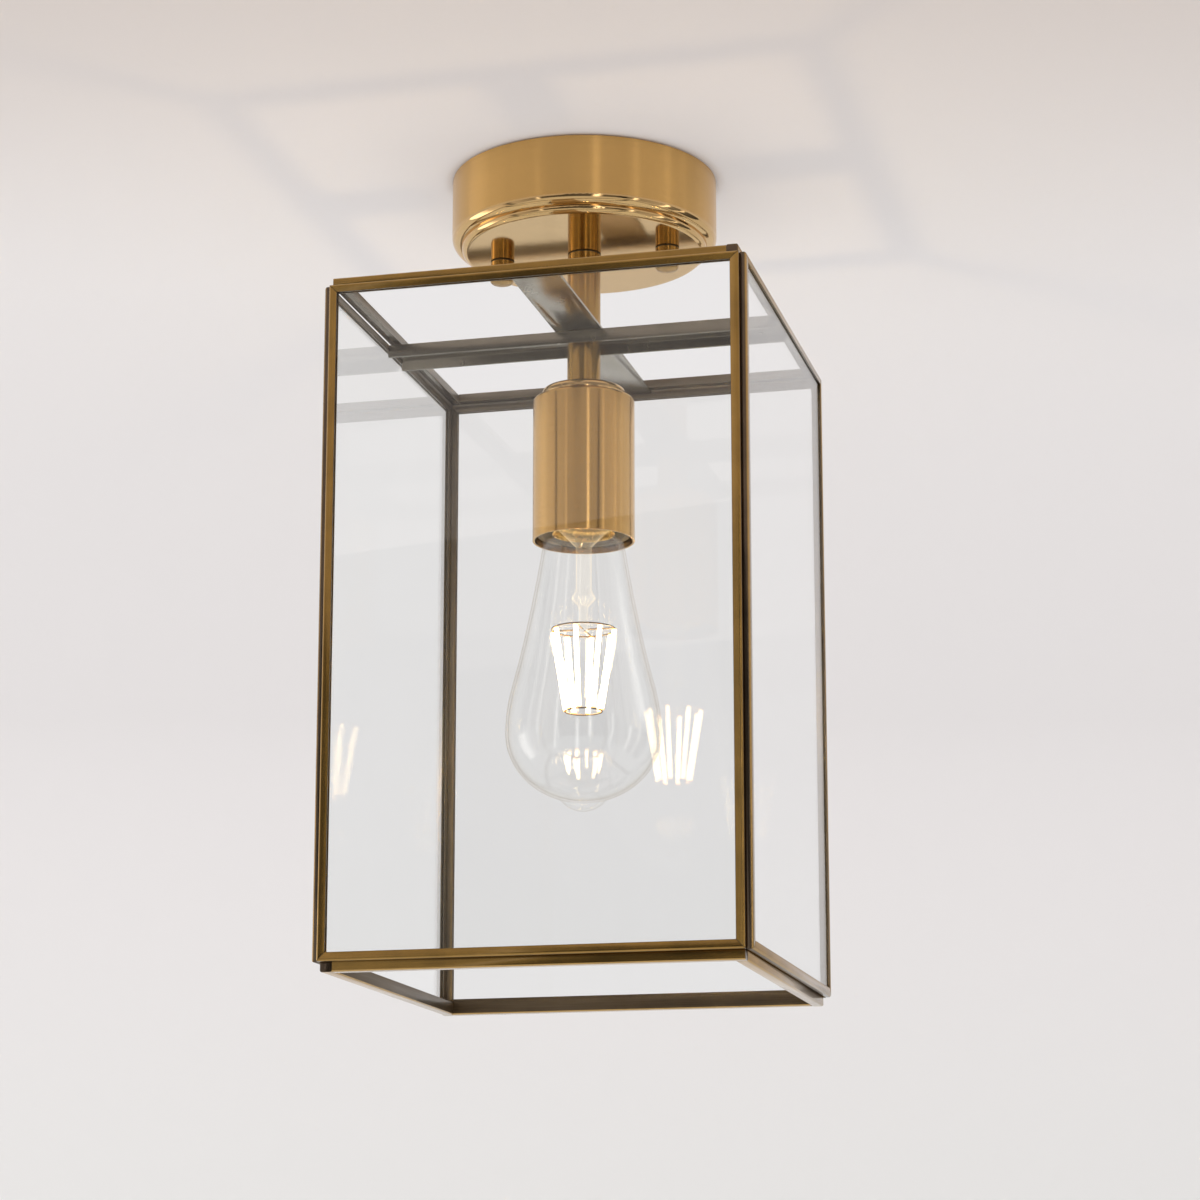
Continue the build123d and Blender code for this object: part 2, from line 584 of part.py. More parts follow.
def bulb_glass():
    """Blown glass with a tapering flank, a round bottom and an exhaust nub, open at the neck."""
    widest = station(BULB_WIDEST)
    neck_top = station(BULB_NECK_TOP)
    neck_end = station(BULB_NECK_END)
    shoulder_end = station(BULB_SHOULDER_END)

    def flank(inset):
        points = [(BULB_SHOULDER_RADIUS - inset, shoulder_end)]
        points += [(radius - inset, station(depth)) for depth, radius in BULB_FLANK]
        points += [(BULB_RADIUS - inset, widest)]
        return Spline(*points, tangents=[(BULB_FLANK_LEAN, -1), (0, -1)])

    def bowl(inset, sweep_angle):
        return EllipticalCenterArc(
            (0, widest), BULB_RADIUS - inset, BULB_BOTTOM_DEPTH - inset, 0, arc_size=-sweep_angle
        )

    outer_bowl = bowl(0, degrees(acos(BULB_NUB_RADIUS / BULB_RADIUS)))
    nub_top = outer_bowl @ 1
    end = nub_top.Y - BULB_NUB_HEIGHT
    inner_neck = BULB_NECK_RADIUS - BULB_GLASS
    inner_shoulder = (BULB_SHOULDER_RADIUS - BULB_GLASS, shoulder_end)
    inner_end = (0, widest - BULB_BOTTOM_DEPTH + BULB_GLASS)
    return turned([
        Line((BULB_NECK_RADIUS, neck_top), (BULB_NECK_RADIUS, neck_end)),
        Line((BULB_NECK_RADIUS, neck_end), (BULB_SHOULDER_RADIUS, shoulder_end)),
        flank(0),
        outer_bowl,
        crown(nub_top.X, nub_top.Y, end),
        Line((0, end), inner_end),
        bowl(BULB_GLASS, 90),
        flank(BULB_GLASS),
        Line(inner_shoulder, (inner_neck, neck_end)),
        Line((inner_neck, neck_end), (inner_neck, neck_top)),
        Line((inner_neck, neck_top), (BULB_NECK_RADIUS, neck_top)),
    ])


def bulb_cap():
    """Screw cap of the bulb, a thin shell round the glass neck."""
    top, end = station(BULB_CAP_TOP), station(BULB_CAP_END)
    slope_end = top - BULB_CAP_SLOPE
    inside = BULB_CAP_RADIUS - BULB_CAP_WALL
    return turned_polygon([
        (INSULATOR_RADIUS, top), (BULB_CAP_RADIUS, slope_end), (BULB_CAP_RADIUS, end), (inside, end),
        (inside, slope_end), (INSULATOR_RADIUS - BULB_CAP_WALL, top - BULB_CAP_WALL),
        (INSULATOR_RADIUS - BULB_CAP_WALL, top),
    ])


def bulb_insulator():
    """Dark glass cone between the screw cap and the end contact."""
    top, end = station(TIP_HEIGHT), station(BULB_CAP_TOP)
    return turned_polygon([(0, top), (TIP_RADIUS, top), (INSULATOR_RADIUS, end), (0, end)])


def bulb_tip_contact():
    """Solder button at the end of the bulb."""
    top, base = station(0), station(TIP_HEIGHT)
    return turned([
        Line((0, base), (TIP_RADIUS, base)),
        crown(TIP_RADIUS, base, top),
        Line((0, top), (0, base)),
    ])


def bulb_mount():
    """Glass stem that closes the neck and carries the filaments."""
    flare_top = station(MOUNT_FLARE_STATION)
    flare_end = flare_top - MOUNT_FLARE_DEPTH
    bulge = station(MOUNT_BULGE_STATION)
    half_bulge = MOUNT_BULGE_LENGTH / 2
    flare = BULB_NECK_RADIUS - BULB_GLASS - MOUNT_GAP
    rod_end = station(MOUNT_END)
    neck_end = station(BULB_NECK_END)
    return turned_polygon([
        (0, flare_top), (flare, flare_top), (flare, (flare_top + neck_end) / 2),
        (MOUNT_ROD_RADIUS, flare_end), (MOUNT_ROD_RADIUS, bulge + half_bulge),
        (MOUNT_BULGE_RADIUS, bulge), (MOUNT_TIP_RADIUS, bulge - half_bulge),
        (MOUNT_TIP_RADIUS, rod_end), (0, rod_end),
    ])


def filaments():
    """Filament rods in a narrowing ring."""
    top = Vector(FILAMENT_TOP_RING, 0, station(FILAMENT_TOP))
    bottom = Vector(FILAMENT_BOTTOM_RING, 0, station(FILAMENT_BOTTOM))
    run = bottom - top
    filament = Plane(origin=top + run * 0.5, z_dir=run) * Cylinder(FILAMENT_RADIUS, run.length)
    return [Rot(0, 0, 360 * turn / FILAMENT_COUNT) * filament for turn in range(FILAMENT_COUNT)]


def filament_wires():
    """Support wires: a spider from the glass stem to the filament tops, and a ring at the bottoms."""
    lean = (FILAMENT_TOP_RING - FILAMENT_BOTTOM_RING) / (FILAMENT_BOTTOM - FILAMENT_TOP)
    offset = FILAMENT_RADIUS * lean + SUPPORT_WIRE_RADIUS + SUPPORT_WIRE_GAP
    top = station(FILAMENT_TOP) + offset
    spider = Pos(0, 0, top) * Torus(FILAMENT_TOP_RING, SUPPORT_WIRE_RADIUS)
    arm_length = FILAMENT_TOP_RING - MOUNT_TIP_RADIUS
    arm = Rot(0, 90, 0) * Cylinder(SUPPORT_WIRE_RADIUS, arm_length)
    arm = Pos(MOUNT_TIP_RADIUS + arm_length / 2, 0, top) * arm
    for turn in range(FILAMENT_COUNT // 2):
        spider += Rot(0, 0, 720 * turn / FILAMENT_COUNT) * arm
    ring = Pos(0, 0, station(FILAMENT_BOTTOM) - offset) * Torus(FILAMENT_BOTTOM_RING, SUPPORT_WIRE_RADIUS)
    return [spider, ring]


# Wiring

def pole_places():
    """Places of the terminal block's poles along X."""
    first = -BLOCK_POLE_PITCH * (BLOCK_POLES - 1) / 2
    return [first + BLOCK_POLE_PITCH * number for number in range(BLOCK_POLES)]


def tower_places():
    """Places of a pole's two screw towers along Y."""
    return [BLOCK_FRONT + TOWER_INSET, BLOCK_FRONT + BLOCK_DEPTH - TOWER_INSET]


def terminal_block():
    """Three-way connector block standing on the canopy floor."""
    base = CANOPY_FLOOR
    top = base + BLOCK_HEIGHT
    back = BLOCK_FRONT + BLOCK_DEPTH
    middle = (BLOCK_FRONT + back) / 2
    web_y = (middle - BLOCK_WEB_DEPTH / 2, middle + BLOCK_WEB_DEPTH / 2)
    places = pole_places()
    body = block((places[0], places[-1]), web_y, (base, base + BLOCK_WEB_HEIGHT))
    hole_length = BLOCK_DEPTH
    for x in places:
        half = BLOCK_POLE_WIDTH / 2
        pole = block((x - half, x + half), (BLOCK_FRONT, back), (base, top))
        body += fillet(pole.edges().filter_by(Axis.Z), BLOCK_EDGE)
        for y in tower_places():
            body += Pos(x, y, 0) * rod(TOWER_RADIUS, top + TOWER_HEIGHT, top)
    for x in places:
        for y in tower_places():
            well = TERMINAL_SCREW_RADIUS + TERMINAL_CLEARANCE
            rim = top + TOWER_HEIGHT
            body -= Pos(x, y, 0) * rod(well, rim, rim - TERMINAL_SCREW_DEPTH - TERMINAL_SCREW_LENGTH)
        entry = Pos(x, middle, base + WIRE_ENTRY_HEIGHT) * Rot(90, 0, 0)
        body -= entry * Cylinder(WIRE_RADIUS + WIRE_HOLE_CLEARANCE, hole_length)
    return body


def terminal_screws():
    """Clamp screws in the block's towers."""
    top = CANOPY_FLOOR + BLOCK_HEIGHT + TOWER_HEIGHT - TERMINAL_SCREW_DEPTH
    screw = rod(TERMINAL_SCREW_RADIUS, top, top - TERMINAL_SCREW_LENGTH)
    screw -= drive_slot(TERMINAL_SCREW_RADIUS, top, -DRIVE_SLOT_DEPTH)
    return [Pos(x, y, 0) * screw for x in pole_places() for y in tower_places()]


def wire(points, bends):
    """Round wire along straight runs joined by tangent arcs."""
    path = FilletPolyline(*points, radius=bends)
    section = Plane(origin=path @ 0, z_dir=path % 0) * Circle(WIRE_RADIUS)
    return sweep(section, path)


def wire_to_nipple(x_block, x_nipple):
    """First points of a wire that leaves the block, rises and turns down into the nipple."""
    entry_z = CANOPY_FLOOR + WIRE_ENTRY_HEIGHT
    lead_end = BLOCK_FRONT - WIRE_LEAD
    return [
        (x_block, BLOCK_FRONT + WIRE_ENTRY_DEPTH, entry_z),
        (x_block, lead_end, entry_z),
        (x_block, lead_end - WIRE_BEND, -WIRE_PEAK),
        (x_nipple, 0, -WIRE_PEAK),
    ]


def live_wire():
    """From the block down the stem to the centre contact."""
    x = live_wire_drop()
    points = wire_to_nipple(pole_places()[0], x) + [(x, 0, SOCKET_TOP)]
    return wire(points, WIRE_BEND)


def neutral_wire():
    """From the block down the stem and out to the screw shell."""
    x = -live_wire_drop()
    bend_top = CHAMBER_TOP - WIRE_KINK_MARGIN
    bend_end = CHAMBER_BOTTOM + WIRE_KINK_MARGIN
    points = wire_to_nipple(pole_places()[-1], x)
    points += [(x, 0, bend_top), (NEUTRAL_OFFSET, 0, bend_end), (NEUTRAL_OFFSET, 0, SOCKET_TOP)]
    return wire(points, EARTH_BEND)


def earth_wire():
    """From the block's middle pole to the tag under the stem nut."""
    entry_z = CANOPY_FLOOR + WIRE_ENTRY_HEIGHT
    tab = EARTH_TAG_REACH - WIRE_RADIUS - EARTH_TAG_SHEET
    entry = (0, BLOCK_FRONT + WIRE_ENTRY_DEPTH, entry_z)
    return wire([entry, (0, tab, entry_z), (0, tab, EARTH_TAG_TOP)], EARTH_BEND)


def all_pieces():
    """Every piece by its node name."""
    pieces = {
        "mounting_strap": mounting_strap(),
        "canopy_studs": canopy_studs(),
        "lock_nuts": lock_nuts(),
        "earth_screw": earth_screw(),
        "canopy": canopy(),
        "thumb_nut_left": thumb_nut(-STUD_X),
        "thumb_nut_right": thumb_nut(STUD_X),
        "nipple": nipple(),
        "stem_nut": stem_nut(),
        "earth_tag": earth_tag(),
        "upper_stem": upper_stem(),
        "lower_stem": lower_stem(),
        "cross_strap": cross_strap(),
        "cross_bar": cross_bar(),
        "cup_cap": cup_cap(),
        "lampholder_cup": lampholder_cup(),
        "holder_body": holder_body(),
        "holder_shell": holder_shell(),
        "holder_contact": holder_contact(),
        "bulb_glass": bulb_glass(),
        "bulb_cap": bulb_cap(),
        "bulb_insulator": bulb_insulator(),
        "bulb_tip_contact": bulb_tip_contact(),
        "bulb_mount": bulb_mount(),
        "filaments": filaments(),
        "filament_wires": filament_wires(),
        "terminal_block": terminal_block(),
        "terminal_screws": terminal_screws(),
        "live_wire": live_wire(),
        "neutral_wire": neutral_wire(),
        "earth_wire": earth_wire(),
    }
    for side, turn in SIDES.items():
        for place, channel in panel_channels().items():
            pieces[f"{side}_channel_{place}"] = to_side(channel, turn)
        pieces[f"{side}_pane"] = to_side(pane(), turn)
        pieces[f"{side}_top_rail"] = to_side(top_rail(), turn)
        pieces[f"{side}_bottom_rail"] = to_side(bottom_rail(), turn)
    return pieces


def main():
    os.makedirs("parts", exist_ok=True)
    for name, piece in all_pieces().items():
        solids = piece if isinstance(piece, list) else [piece]
        shape = Compound(children=solids) if len(solids) > 1 else solids[0]
        export_step(shape, f"parts/{name}.step")


if __name__ == "__main__":
    main()
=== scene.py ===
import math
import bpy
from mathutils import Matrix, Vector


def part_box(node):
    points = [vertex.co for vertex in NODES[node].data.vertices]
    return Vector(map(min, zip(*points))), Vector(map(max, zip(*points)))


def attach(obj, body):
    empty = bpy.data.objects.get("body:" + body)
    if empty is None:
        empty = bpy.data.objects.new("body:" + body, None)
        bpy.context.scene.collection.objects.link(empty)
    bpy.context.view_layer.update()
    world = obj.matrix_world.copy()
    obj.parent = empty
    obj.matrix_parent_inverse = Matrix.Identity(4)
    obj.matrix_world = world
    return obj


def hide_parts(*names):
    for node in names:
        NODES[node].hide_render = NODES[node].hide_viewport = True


bl_info = {
    "name": "Lantern ceiling light",
    "version": (1, 0, 0),
    "blender": (4, 5, 0),
    "location": "3D View > Sidebar > Lantern",
    "description": "Finishes the solids of a square glass lantern and lights them in a plain room",
    "category": "Object",
}

import bpy
from bpy.props import FloatProperty, FloatVectorProperty, IntProperty, PointerProperty
from bpy.types import Operator, Panel, PropertyGroup
from mathutils import Vector

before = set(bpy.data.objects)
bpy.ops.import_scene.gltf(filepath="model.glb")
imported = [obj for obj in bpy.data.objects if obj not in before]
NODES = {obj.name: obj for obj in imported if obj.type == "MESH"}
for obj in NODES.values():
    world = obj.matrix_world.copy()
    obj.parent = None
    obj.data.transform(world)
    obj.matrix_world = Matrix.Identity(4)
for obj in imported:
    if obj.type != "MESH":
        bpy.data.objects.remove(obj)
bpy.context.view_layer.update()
SIDES = ("front", "right", "back", "left")
CANOPY_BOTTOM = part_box("canopy")[0].z
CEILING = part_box("canopy")[1].z
CANOPY_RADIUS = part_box("canopy")[1].x

# Directions, and the scale that drops a point to the level of the origin
UP = (0.0, 0.0, 1.0)
DOWN = (0.0, 0.0, -1.0)
LEVEL = (1.0, 1.0, 0.0)

# Edges that turn further than these angles stay sharp, or are bevelled
NODE_SMOOTHING = math.radians(32)
ADDED_SMOOTHING = math.radians(40)
BEVEL_TURN = math.radians(50)
BEVEL_SEGMENTS = 2
WELD_DISTANCE = 1e-6

# Steps of each quarter turn in the added shapes
WEB_STEPS = 8
BEAD_STEPS = 6
COVE_STEPS = 16

# Share of a normal along an axis, between faces that lean and faces square to the axis
SQUARE = (0.80, 0.96)


# Sizes and colours

def colour(name, description, default):
    """A colour the user can change."""
    return FloatVectorProperty(
        name=name, description=description, subtype="COLOR", size=4, min=0.0, max=1.0,
        default=(*default, 1.0),
    )


def length(name, description, default):
    """A length the user can change, in metres."""
    return FloatProperty(
        name=name, description=description, default=default, min=0.0, unit="LENGTH", precision=5
    )


class LanternSizes(PropertyGroup):
    """Sizes of what is added to the solids."""

    # Width of the bright edge bevels: a painted highlight, partly wear
    edge_wear_highlight: length("Edge wear", "Width of the rubbed bright line along the frame's edges", 0.00022)
    brush_spacing: length("Brush spacing", "Distance between the brush lines on the satin metal", 0.00030)
    moulding_top: length("Moulding height", "Height of the polished edge above the canopy's plate", 0.0065)
    # Painted shade line for the crevice at the plate
    joint_shade_line: length("Joint line", "Height of the dark line where stem and nuts meet the plate", 0.00050)
    # Dark lines on the channels' edge bevels: painted shade, and a dark joint at the mitres
    seam: length("Seam", "Width of the dark lines along the channels' edges and mitres", 0.00012)
    solder_radius: length("Solder radius", "Rounding of the solder in the panels' inside corners", 0.0022)
    solder_depth: length("Solder thickness", "Thickness of the solder in those corners", 0.00040)
    bead_depth: length("Solder bead depth", "Width of the solder under the top rails", 0.00080)
    bead_height: length("Solder bead height", "Height of the solder on the panels' inner faces", 0.00160)
    stud_pitch: length("Stud thread pitch", "Distance between the turns of the studs' thread", 0.0007)
    nipple_pitch: length("Nipple thread pitch", "Distance between the turns of the nipple's thread", 0.001)
    nub_height: length("Nub height", "Height of the thick glass at the bulb's exhaust nub", 0.0040)
    cap_pitch: length("Cap thread pitch", "Distance between the turns of the bulb cap's thread", 0.003629)
    cap_depth: length("Cap thread depth", "Depth of the bulb cap's rolled thread", 0.00075)
    cap_segments: IntProperty(
        name="Cap segments", description="Steps round the bulb cap's thread", default=72, min=24
    )


class LanternColours(PropertyGroup):
    """Colours of the finishes."""

    satin: colour("Satin brass", "Brushed metal of the canopy's drum", (0.645, 0.400, 0.142))
    cup: colour("Cup brass", "Brushed metal of the cup", (0.680, 0.412, 0.150))
    stem: colour("Stem brass", "Brushed metal of the stem and nuts", (0.480, 0.290, 0.088))
    polished: colour("Polished brass", "Mirror metal of plate, edge and cup cap", (0.660, 0.440, 0.200))
    bronze: colour("Bronzed brass", "Outside of the lantern's frame", (0.360, 0.208, 0.046))
    # Dark end faces, undersides and edge lines: partly oxide, partly painted shade
    bronze_patina_and_shade: colour("Bronze patina", "Dark edges of the lantern's panels", (0.100, 0.068, 0.042))
    # Bright edge colour: a painted highlight, partly wear
    worn_highlight: colour("Worn edge", "Rubbed edges of the lantern's frame", (0.620, 0.402, 0.152))
    # Painted reflection: the lower rails' undersides are painted paler for the pale room they mirror at a
    # glancing view
    painted_underside: colour("Rail underside", "Rubbed undersides of the lower rails", (0.640, 0.500, 0.360))
    inside: colour("Frame inside", "Dull inner faces of the lantern's upper frame", (0.185, 0.156, 0.120))
    inside_low: colour("Lower frame inside", "Dull inner faces of the lower rails", (0.112, 0.082, 0.050))
    strap: colour("Cross strip", "Grey underside of the strip from front to back", (0.380, 0.345, 0.292))
    bar: colour("Cross channel", "Grey underside of the channel from left to right", (0.240, 0.213, 0.168))
    # Painted light: tops painted paler and matt for the light they catch
    over: colour("Upper faces", "Paler metal on top of the cross and upper rails", (0.720, 0.610, 0.420))
    solder: colour("Solder", "Solder in the frame's inside corners", (0.190, 0.165, 0.135))
    glass: colour("Pane glass", "Clear glass of the panes", (0.982, 0.990, 0.985))
    bulb: colour("Bulb glass", "Clear glass of the bulb", (0.997, 0.998, 0.997))
    bulb_rim: colour("Bulb outline", "Bulb glass where the eye looks along it", (0.720, 0.650, 0.550))
    glow: colour("Filament light", "Light of the filaments", (1.000, 0.780, 0.450))
    holder: colour("Holder", "Moulded lampholder", (0.040, 0.033, 0.025))
    black: colour("Black glass", "Insulator of the bulb's cap", (0.016, 0.015, 0.014))
    cap: colour("Bulb cap", "Brass screw cap", (0.720, 0.500, 0.200))
    wire: colour("Wire", "Heated support wires of the filaments", (0.120, 0.088, 0.058))
    zinc: colour("Zinc steel", "Strap, studs and nuts inside the canopy", (0.560, 0.560, 0.545))
    plain_brass: colour("Plain brass", "Terminals, tag and screw shell", (0.700, 0.500, 0.230))
    nylon: colour("Nylon", "Terminal block", (0.800, 0.790, 0.740))
    live: colour("Live sleeve", "Sleeve of the live wire", (0.110, 0.040, 0.015))
    neutral: colour("Neutral sleeve", "Sleeve of the neutral wire", (0.015, 0.060, 0.300))
    earth: colour("Earth sleeve", "Sleeve of the earth wire", (0.060, 0.250, 0.040))
    earth_stripe: colour("Earth stripe", "Stripe on the earth wire's sleeve", (0.720, 0.560, 0.030))


class LanternStage(PropertyGroup):
    """The room, its light and the camera."""

    room: colour("Room", "Pale surroundings", (0.775, 0.745, 0.725))
    ceiling: colour("Ceiling", "Painted ceiling", (0.860, 0.836, 0.842))
    # Painted shade: the ceiling is painted dimmer towards the viewer
    ceiling_near_shade: colour("Near ceiling", "Dimmer ceiling towards the viewer", (0.680, 0.620, 0.590))
    wall: colour("Wall", "Painted wall and floor", (0.838, 0.840, 0.832))
    glow_strength: FloatProperty(
        name="Filament strength", description="Brightness of the filaments", default=45.0, min=0.0
    )
    glow_power: FloatProperty(
        name="Bulb power", description="Light of the lit bulb on the ceiling, W", default=0.6, min=0.0
    )
    floor_drop: length("Floor below ceiling", "Height of the room", 2.4)
    wall_distance: length("Wall distance", "From the light to the wall behind it", 1.5)
    cove: length("Cove", "Radius of the soft turn from ceiling to wall and from wall to floor", 0.35)
    room_width: length("Room width", "Width of the ceiling, wall and floor", 7.0)
    ceiling_reach: length("Ceiling reach", "How far the ceiling runs in front of the light", 0.65)
    ceiling_gap: length("Ceiling gap", "Space between the fitting's top and the ceiling", 0.0008)
    lens: FloatProperty(name="Lens", description="Focal length of the camera, mm", default=92.805, min=1.0)
    turn: FloatProperty(
        name="Camera turn", description="Camera's turn to the left", subtype="ANGLE",
        default=math.radians(14.040),
    )
    tilt: FloatProperty(
        name="Camera tilt", description="Camera's tilt upwards", subtype="ANGLE",
        default=math.radians(12.319),
    )
    shift: FloatProperty(name="Camera shift", description="Upward shift of the picture", default=0.06)
    viewpoint: FloatVectorProperty(
        name="Viewpoint", description="Place of the camera", subtype="XYZ", unit="LENGTH", size=3,
        default=(0.30807, -1.20470, -0.48383),
    )


# Shader maths

class Socket:
    """One output of a node. Maths on it adds Math nodes to its tree."""

    def __init__(self, tree, output):
        self.tree = tree
        self.output = output

    def twin(self, name):
        """Another output of the same node."""
        return Socket(self.tree, self.output.node.outputs[name])

    def calculate(self, operation, first, second):
        """The result of one Math node."""
        return self.tree.add("ShaderNodeMath", {"operation": operation}, {0: first, 1: second})

    def __add__(self, other):
        return self.calculate("ADD", self, other)

    def __radd__(self, other):
        return self.calculate("ADD", other, self)

    def __sub__(self, other):
        return self.calculate("SUBTRACT", self, other)

    def __rsub__(self, other):
        return self.calculate("SUBTRACT", other, self)

    def __mul__(self, other):
        return self.calculate("MULTIPLY", self, other)

    def __rmul__(self, other):
        return self.calculate("MULTIPLY", other, self)

    def __truediv__(self, other):
        return self.calculate("DIVIDE", self, other)

    def __rtruediv__(self, other):
        return self.calculate("DIVIDE", other, self)

    def __pow__(self, other):
        return self.calculate("POWER", self, other)

    def __rpow__(self, other):
        return self.calculate("POWER", other, self)

    def __neg__(self):
        return self.calculate("MULTIPLY", self, -1.0)

    def __abs__(self):
        return self.calculate("ABSOLUTE", self, 0.0)


class Tree:
    """The nodes of one material or of the world."""

    def __init__(self, owner):
        owner.use_nodes = True
        self.nodes = owner.node_tree.nodes
        self.links = owner.node_tree.links
        self.nodes.clear()

    def add(self, kind, settings=None, inputs=None, output=0):
        """Add a node: its settings first, then the values or links of its sockets."""
        node = self.nodes.new(kind)
        for name, value in (settings or {}).items():
            if name == "stops":
                self.set_stops(node.color_ramp, value)
            else:
                setattr(node, name, value)
        for name, value in (inputs or {}).items():
            if isinstance(value, Socket):
                self.links.new(value.output, node.inputs[name])
            else:
                node.inputs[name].default_value = value
        if node.outputs:
            return Socket(self, node.outputs[output])
        return None

    @staticmethod
    def set_stops(ramp, stops):
        """Place a ramp's stops, given as position and colour."""
        while len(ramp.elements) < len(stops):
            ramp.elements.new(0.5)
        for element, (position, value) in zip(ramp.elements, stops):
            element.position = position
            element.color = value

    def place(self):
        """Point on the surface in metres, in the frame of the CAD."""
        return self.add("ShaderNodeTexCoord", output="Object")

    def facing(self):
        """Surface normal in the frame of the CAD."""
        return self.add("ShaderNodeTexCoord", output="Normal")

    def part(self, vector, axis):
        """One component of a vector."""
        return self.add("ShaderNodeSeparateXYZ", None, {0: vector}, output=axis)

    def stretch(self, vector, scale):
        """Vector times a fixed scale along each axis."""
        return self.add("ShaderNodeVectorMath", {"operation": "MULTIPLY"}, {0: vector, 1: scale})

    def dot(self, first, second):
        """Dot product of two vectors."""
        return self.add(
            "ShaderNodeVectorMath", {"operation": "DOT_PRODUCT"}, {0: first, 1: second}, output="Value"
        )

    def noise(self, vector, scale, detail=3.0, roughness=0.5):
        """Noise from 0 to 1."""
        return self.add(
            "ShaderNodeTexNoise", {"noise_dimensions": "3D"},
            {"Vector": vector, "Scale": scale, "Detail": detail, "Roughness": roughness},
        )

    def rise(self, value, low, high):
        """Smooth step from 0 at the first value to 1 at the second."""
        return self.add(
            "ShaderNodeMapRange", {"interpolation_type": "SMOOTHSTEP"},
            {"Value": value, "From Min": low, "From Max": high},
        )

    def between(self, value, low, high):
        """Value of 0 to 1 spread over another range."""
        return self.add("ShaderNodeMapRange", None, {"Value": value, "To Min": low, "To Max": high})

    def tint(self, factor, first, second):
        """Colour between two colours. The node's sockets share their names, so they go by number."""
        return self.add("ShaderNodeMix", {"data_type": "RGBA"}, {0: factor, 6: first, 7: second}, output=2)

    def shades(self, factor, base, dark, light):
        """Colour between two shades of one colour."""
        return self.tint(factor, shade(base, dark), shade(base, light))

    def bump(self, height, strength, distance):
        """Normal that follows a height."""
        return self.add(
            "ShaderNodeBump", None, {"Strength": strength, "Distance": distance, "Height": height}
        )

    def principled(self, inputs):
        """Principled shader with the given sockets."""
        return self.add("ShaderNodeBsdfPrincipled", None, inputs)

    def mix(self, factor, first, second):
        """Shader between two shaders."""
        return self.add("ShaderNodeMixShader", None, {0: factor, 1: first, 2: second})

    def surface(self, shader):
        """Finish the material with its shader."""
        self.add("ShaderNodeOutputMaterial", None, {"Surface": shader})


def shade(value, factor):
    """A colour made darker or lighter."""
    return (value[0] * factor, value[1] * factor, value[2] * factor, 1.0)


def new_finish(name):
    """An empty material and its tree."""
    material = bpy.data.materials.new(name)
    return material, Tree(material)


# Finishes

def brush_lines(tree, along, across):
    """Fine lines round the Z axis: long in the round, close in height."""
    place = tree.stretch(tree.place(), (along, along, 1.0 / across))
    return tree.noise(place, scale=1.0, detail=2.0)


def satin_shader(tree, base, spacing, round_scale, smooth, rough, mottle):
    """Metal brushed round its axis, so that its gloss spreads up and down."""
    lines = brush_lines(tree, round_scale, spacing)
    clouds = tree.noise(tree.place(), scale=55.0, detail=2.0)
    return tree.principled({
        "Base Color": tree.shades(lines * 0.6 + clouds * 0.4, base, 1.0 - mottle, 1.0 + mottle),
        "Metallic": 1.0, "Roughness": tree.between(lines, smooth, rough),
        "Anisotropic": 1.0, "Anisotropic Rotation": 0.25,
        "Normal": tree.bump(lines, strength=mottle * 0.35, distance=0.00002),
    })


def polished_shader(tree, base, roughness):
    """Mirror metal with a faint ripple and hairline marks."""
    ripple = tree.noise(tree.place(), scale=140.0, detail=2.0)
    marks = tree.noise(tree.place(), scale=900.0, detail=4.0, roughness=0.65)
    return tree.principled({
        "Base Color": tree.shades(ripple, base, 0.94, 1.06), "Metallic": 1.0,
        "Roughness": tree.between(marks, roughness * 0.7, roughness * 1.5),
        "Normal": tree.bump(ripple, strength=0.06, distance=0.0002),
    })


def canopy_finish(colours, sizes):
    """Satin drum, polished edge and plate."""
    material, tree = new_finish("canopy_brass")
    satin = satin_shader(
        tree, colours.satin, sizes.brush_spacing, round_scale=12.0, smooth=0.20, rough=0.28, mottle=0.12
    )
    polished = polished_shader(tree, colours.polished, roughness=0.07)
    edge, blend = CANOPY_BOTTOM + sizes.moulding_top, 0.0002
    mask = tree.rise(tree.part(tree.place(), "Z"), edge - blend, edge + blend)
    tree.surface(tree.mix(mask, polished, satin))
    return material


def cup_finish(colours, sizes):
    """Satin metal of the cup."""
    material, tree = new_finish("cup_brass")
    tree.surface(satin_shader(
        tree, colours.cup, sizes.brush_spacing, round_scale=20.0, smooth=0.18, rough=0.26, mottle=0.13
    ))
    return material


def stem_finish(colours, sizes):
    """Satin metal of the stem and nuts, with a painted shade line where they meet the canopy's plate."""
    material, tree = new_finish("stem_brass")
    satin = satin_shader(
        tree, colours.stem, sizes.brush_spacing, round_scale=25.0, smooth=0.20, rough=0.28, mottle=0.04
    )
    # Painted shade: a near-black band for the crevice where stem and nuts meet the plate
    shade_grain = tree.noise(tree.place(), scale=900.0, detail=2.0)
    joint = tree.principled({"Base Color": tree.shades(shade_grain, colours.stem, 0.05, 0.12), "Roughness": 0.7})
    line = sizes.joint_shade_line
    mask = tree.rise(tree.part(tree.place(), "Z"), CANOPY_BOTTOM - line, CANOPY_BOTTOM - line * 0.7)
    tree.surface(tree.mix(mask, satin, joint))
    return material


def threaded_finish(name, base, pitch):
    """Plated screw with the ridges of its thread, and painted shade in its grooves."""
    material, tree = new_finish(name)
    mottle = tree.noise(tree.place(), scale=260.0, detail=4.0, roughness=0.6)
    z = tree.part(tree.place(), "Z")
    ridge = z.calculate("PINGPONG", z, pitch / 2) / (pitch / 2)
    # Darker in the thread's grooves: painted shade
    tree.surface(tree.principled({
        "Base Color": tree.shades(ridge, base, 0.55, 1.08), "Metallic": 1.0,
        "Roughness": tree.between(mottle, 0.26, 0.44),
        "Normal": tree.bump(ridge, strength=0.9, distance=pitch * 0.5),
    }))
    return material


def polished_finish(name, base, roughness):
    """Polished metal for small turned pieces."""
    material, tree = new_finish(name)
    tree.surface(polished_shader(tree, base, roughness))
    return material


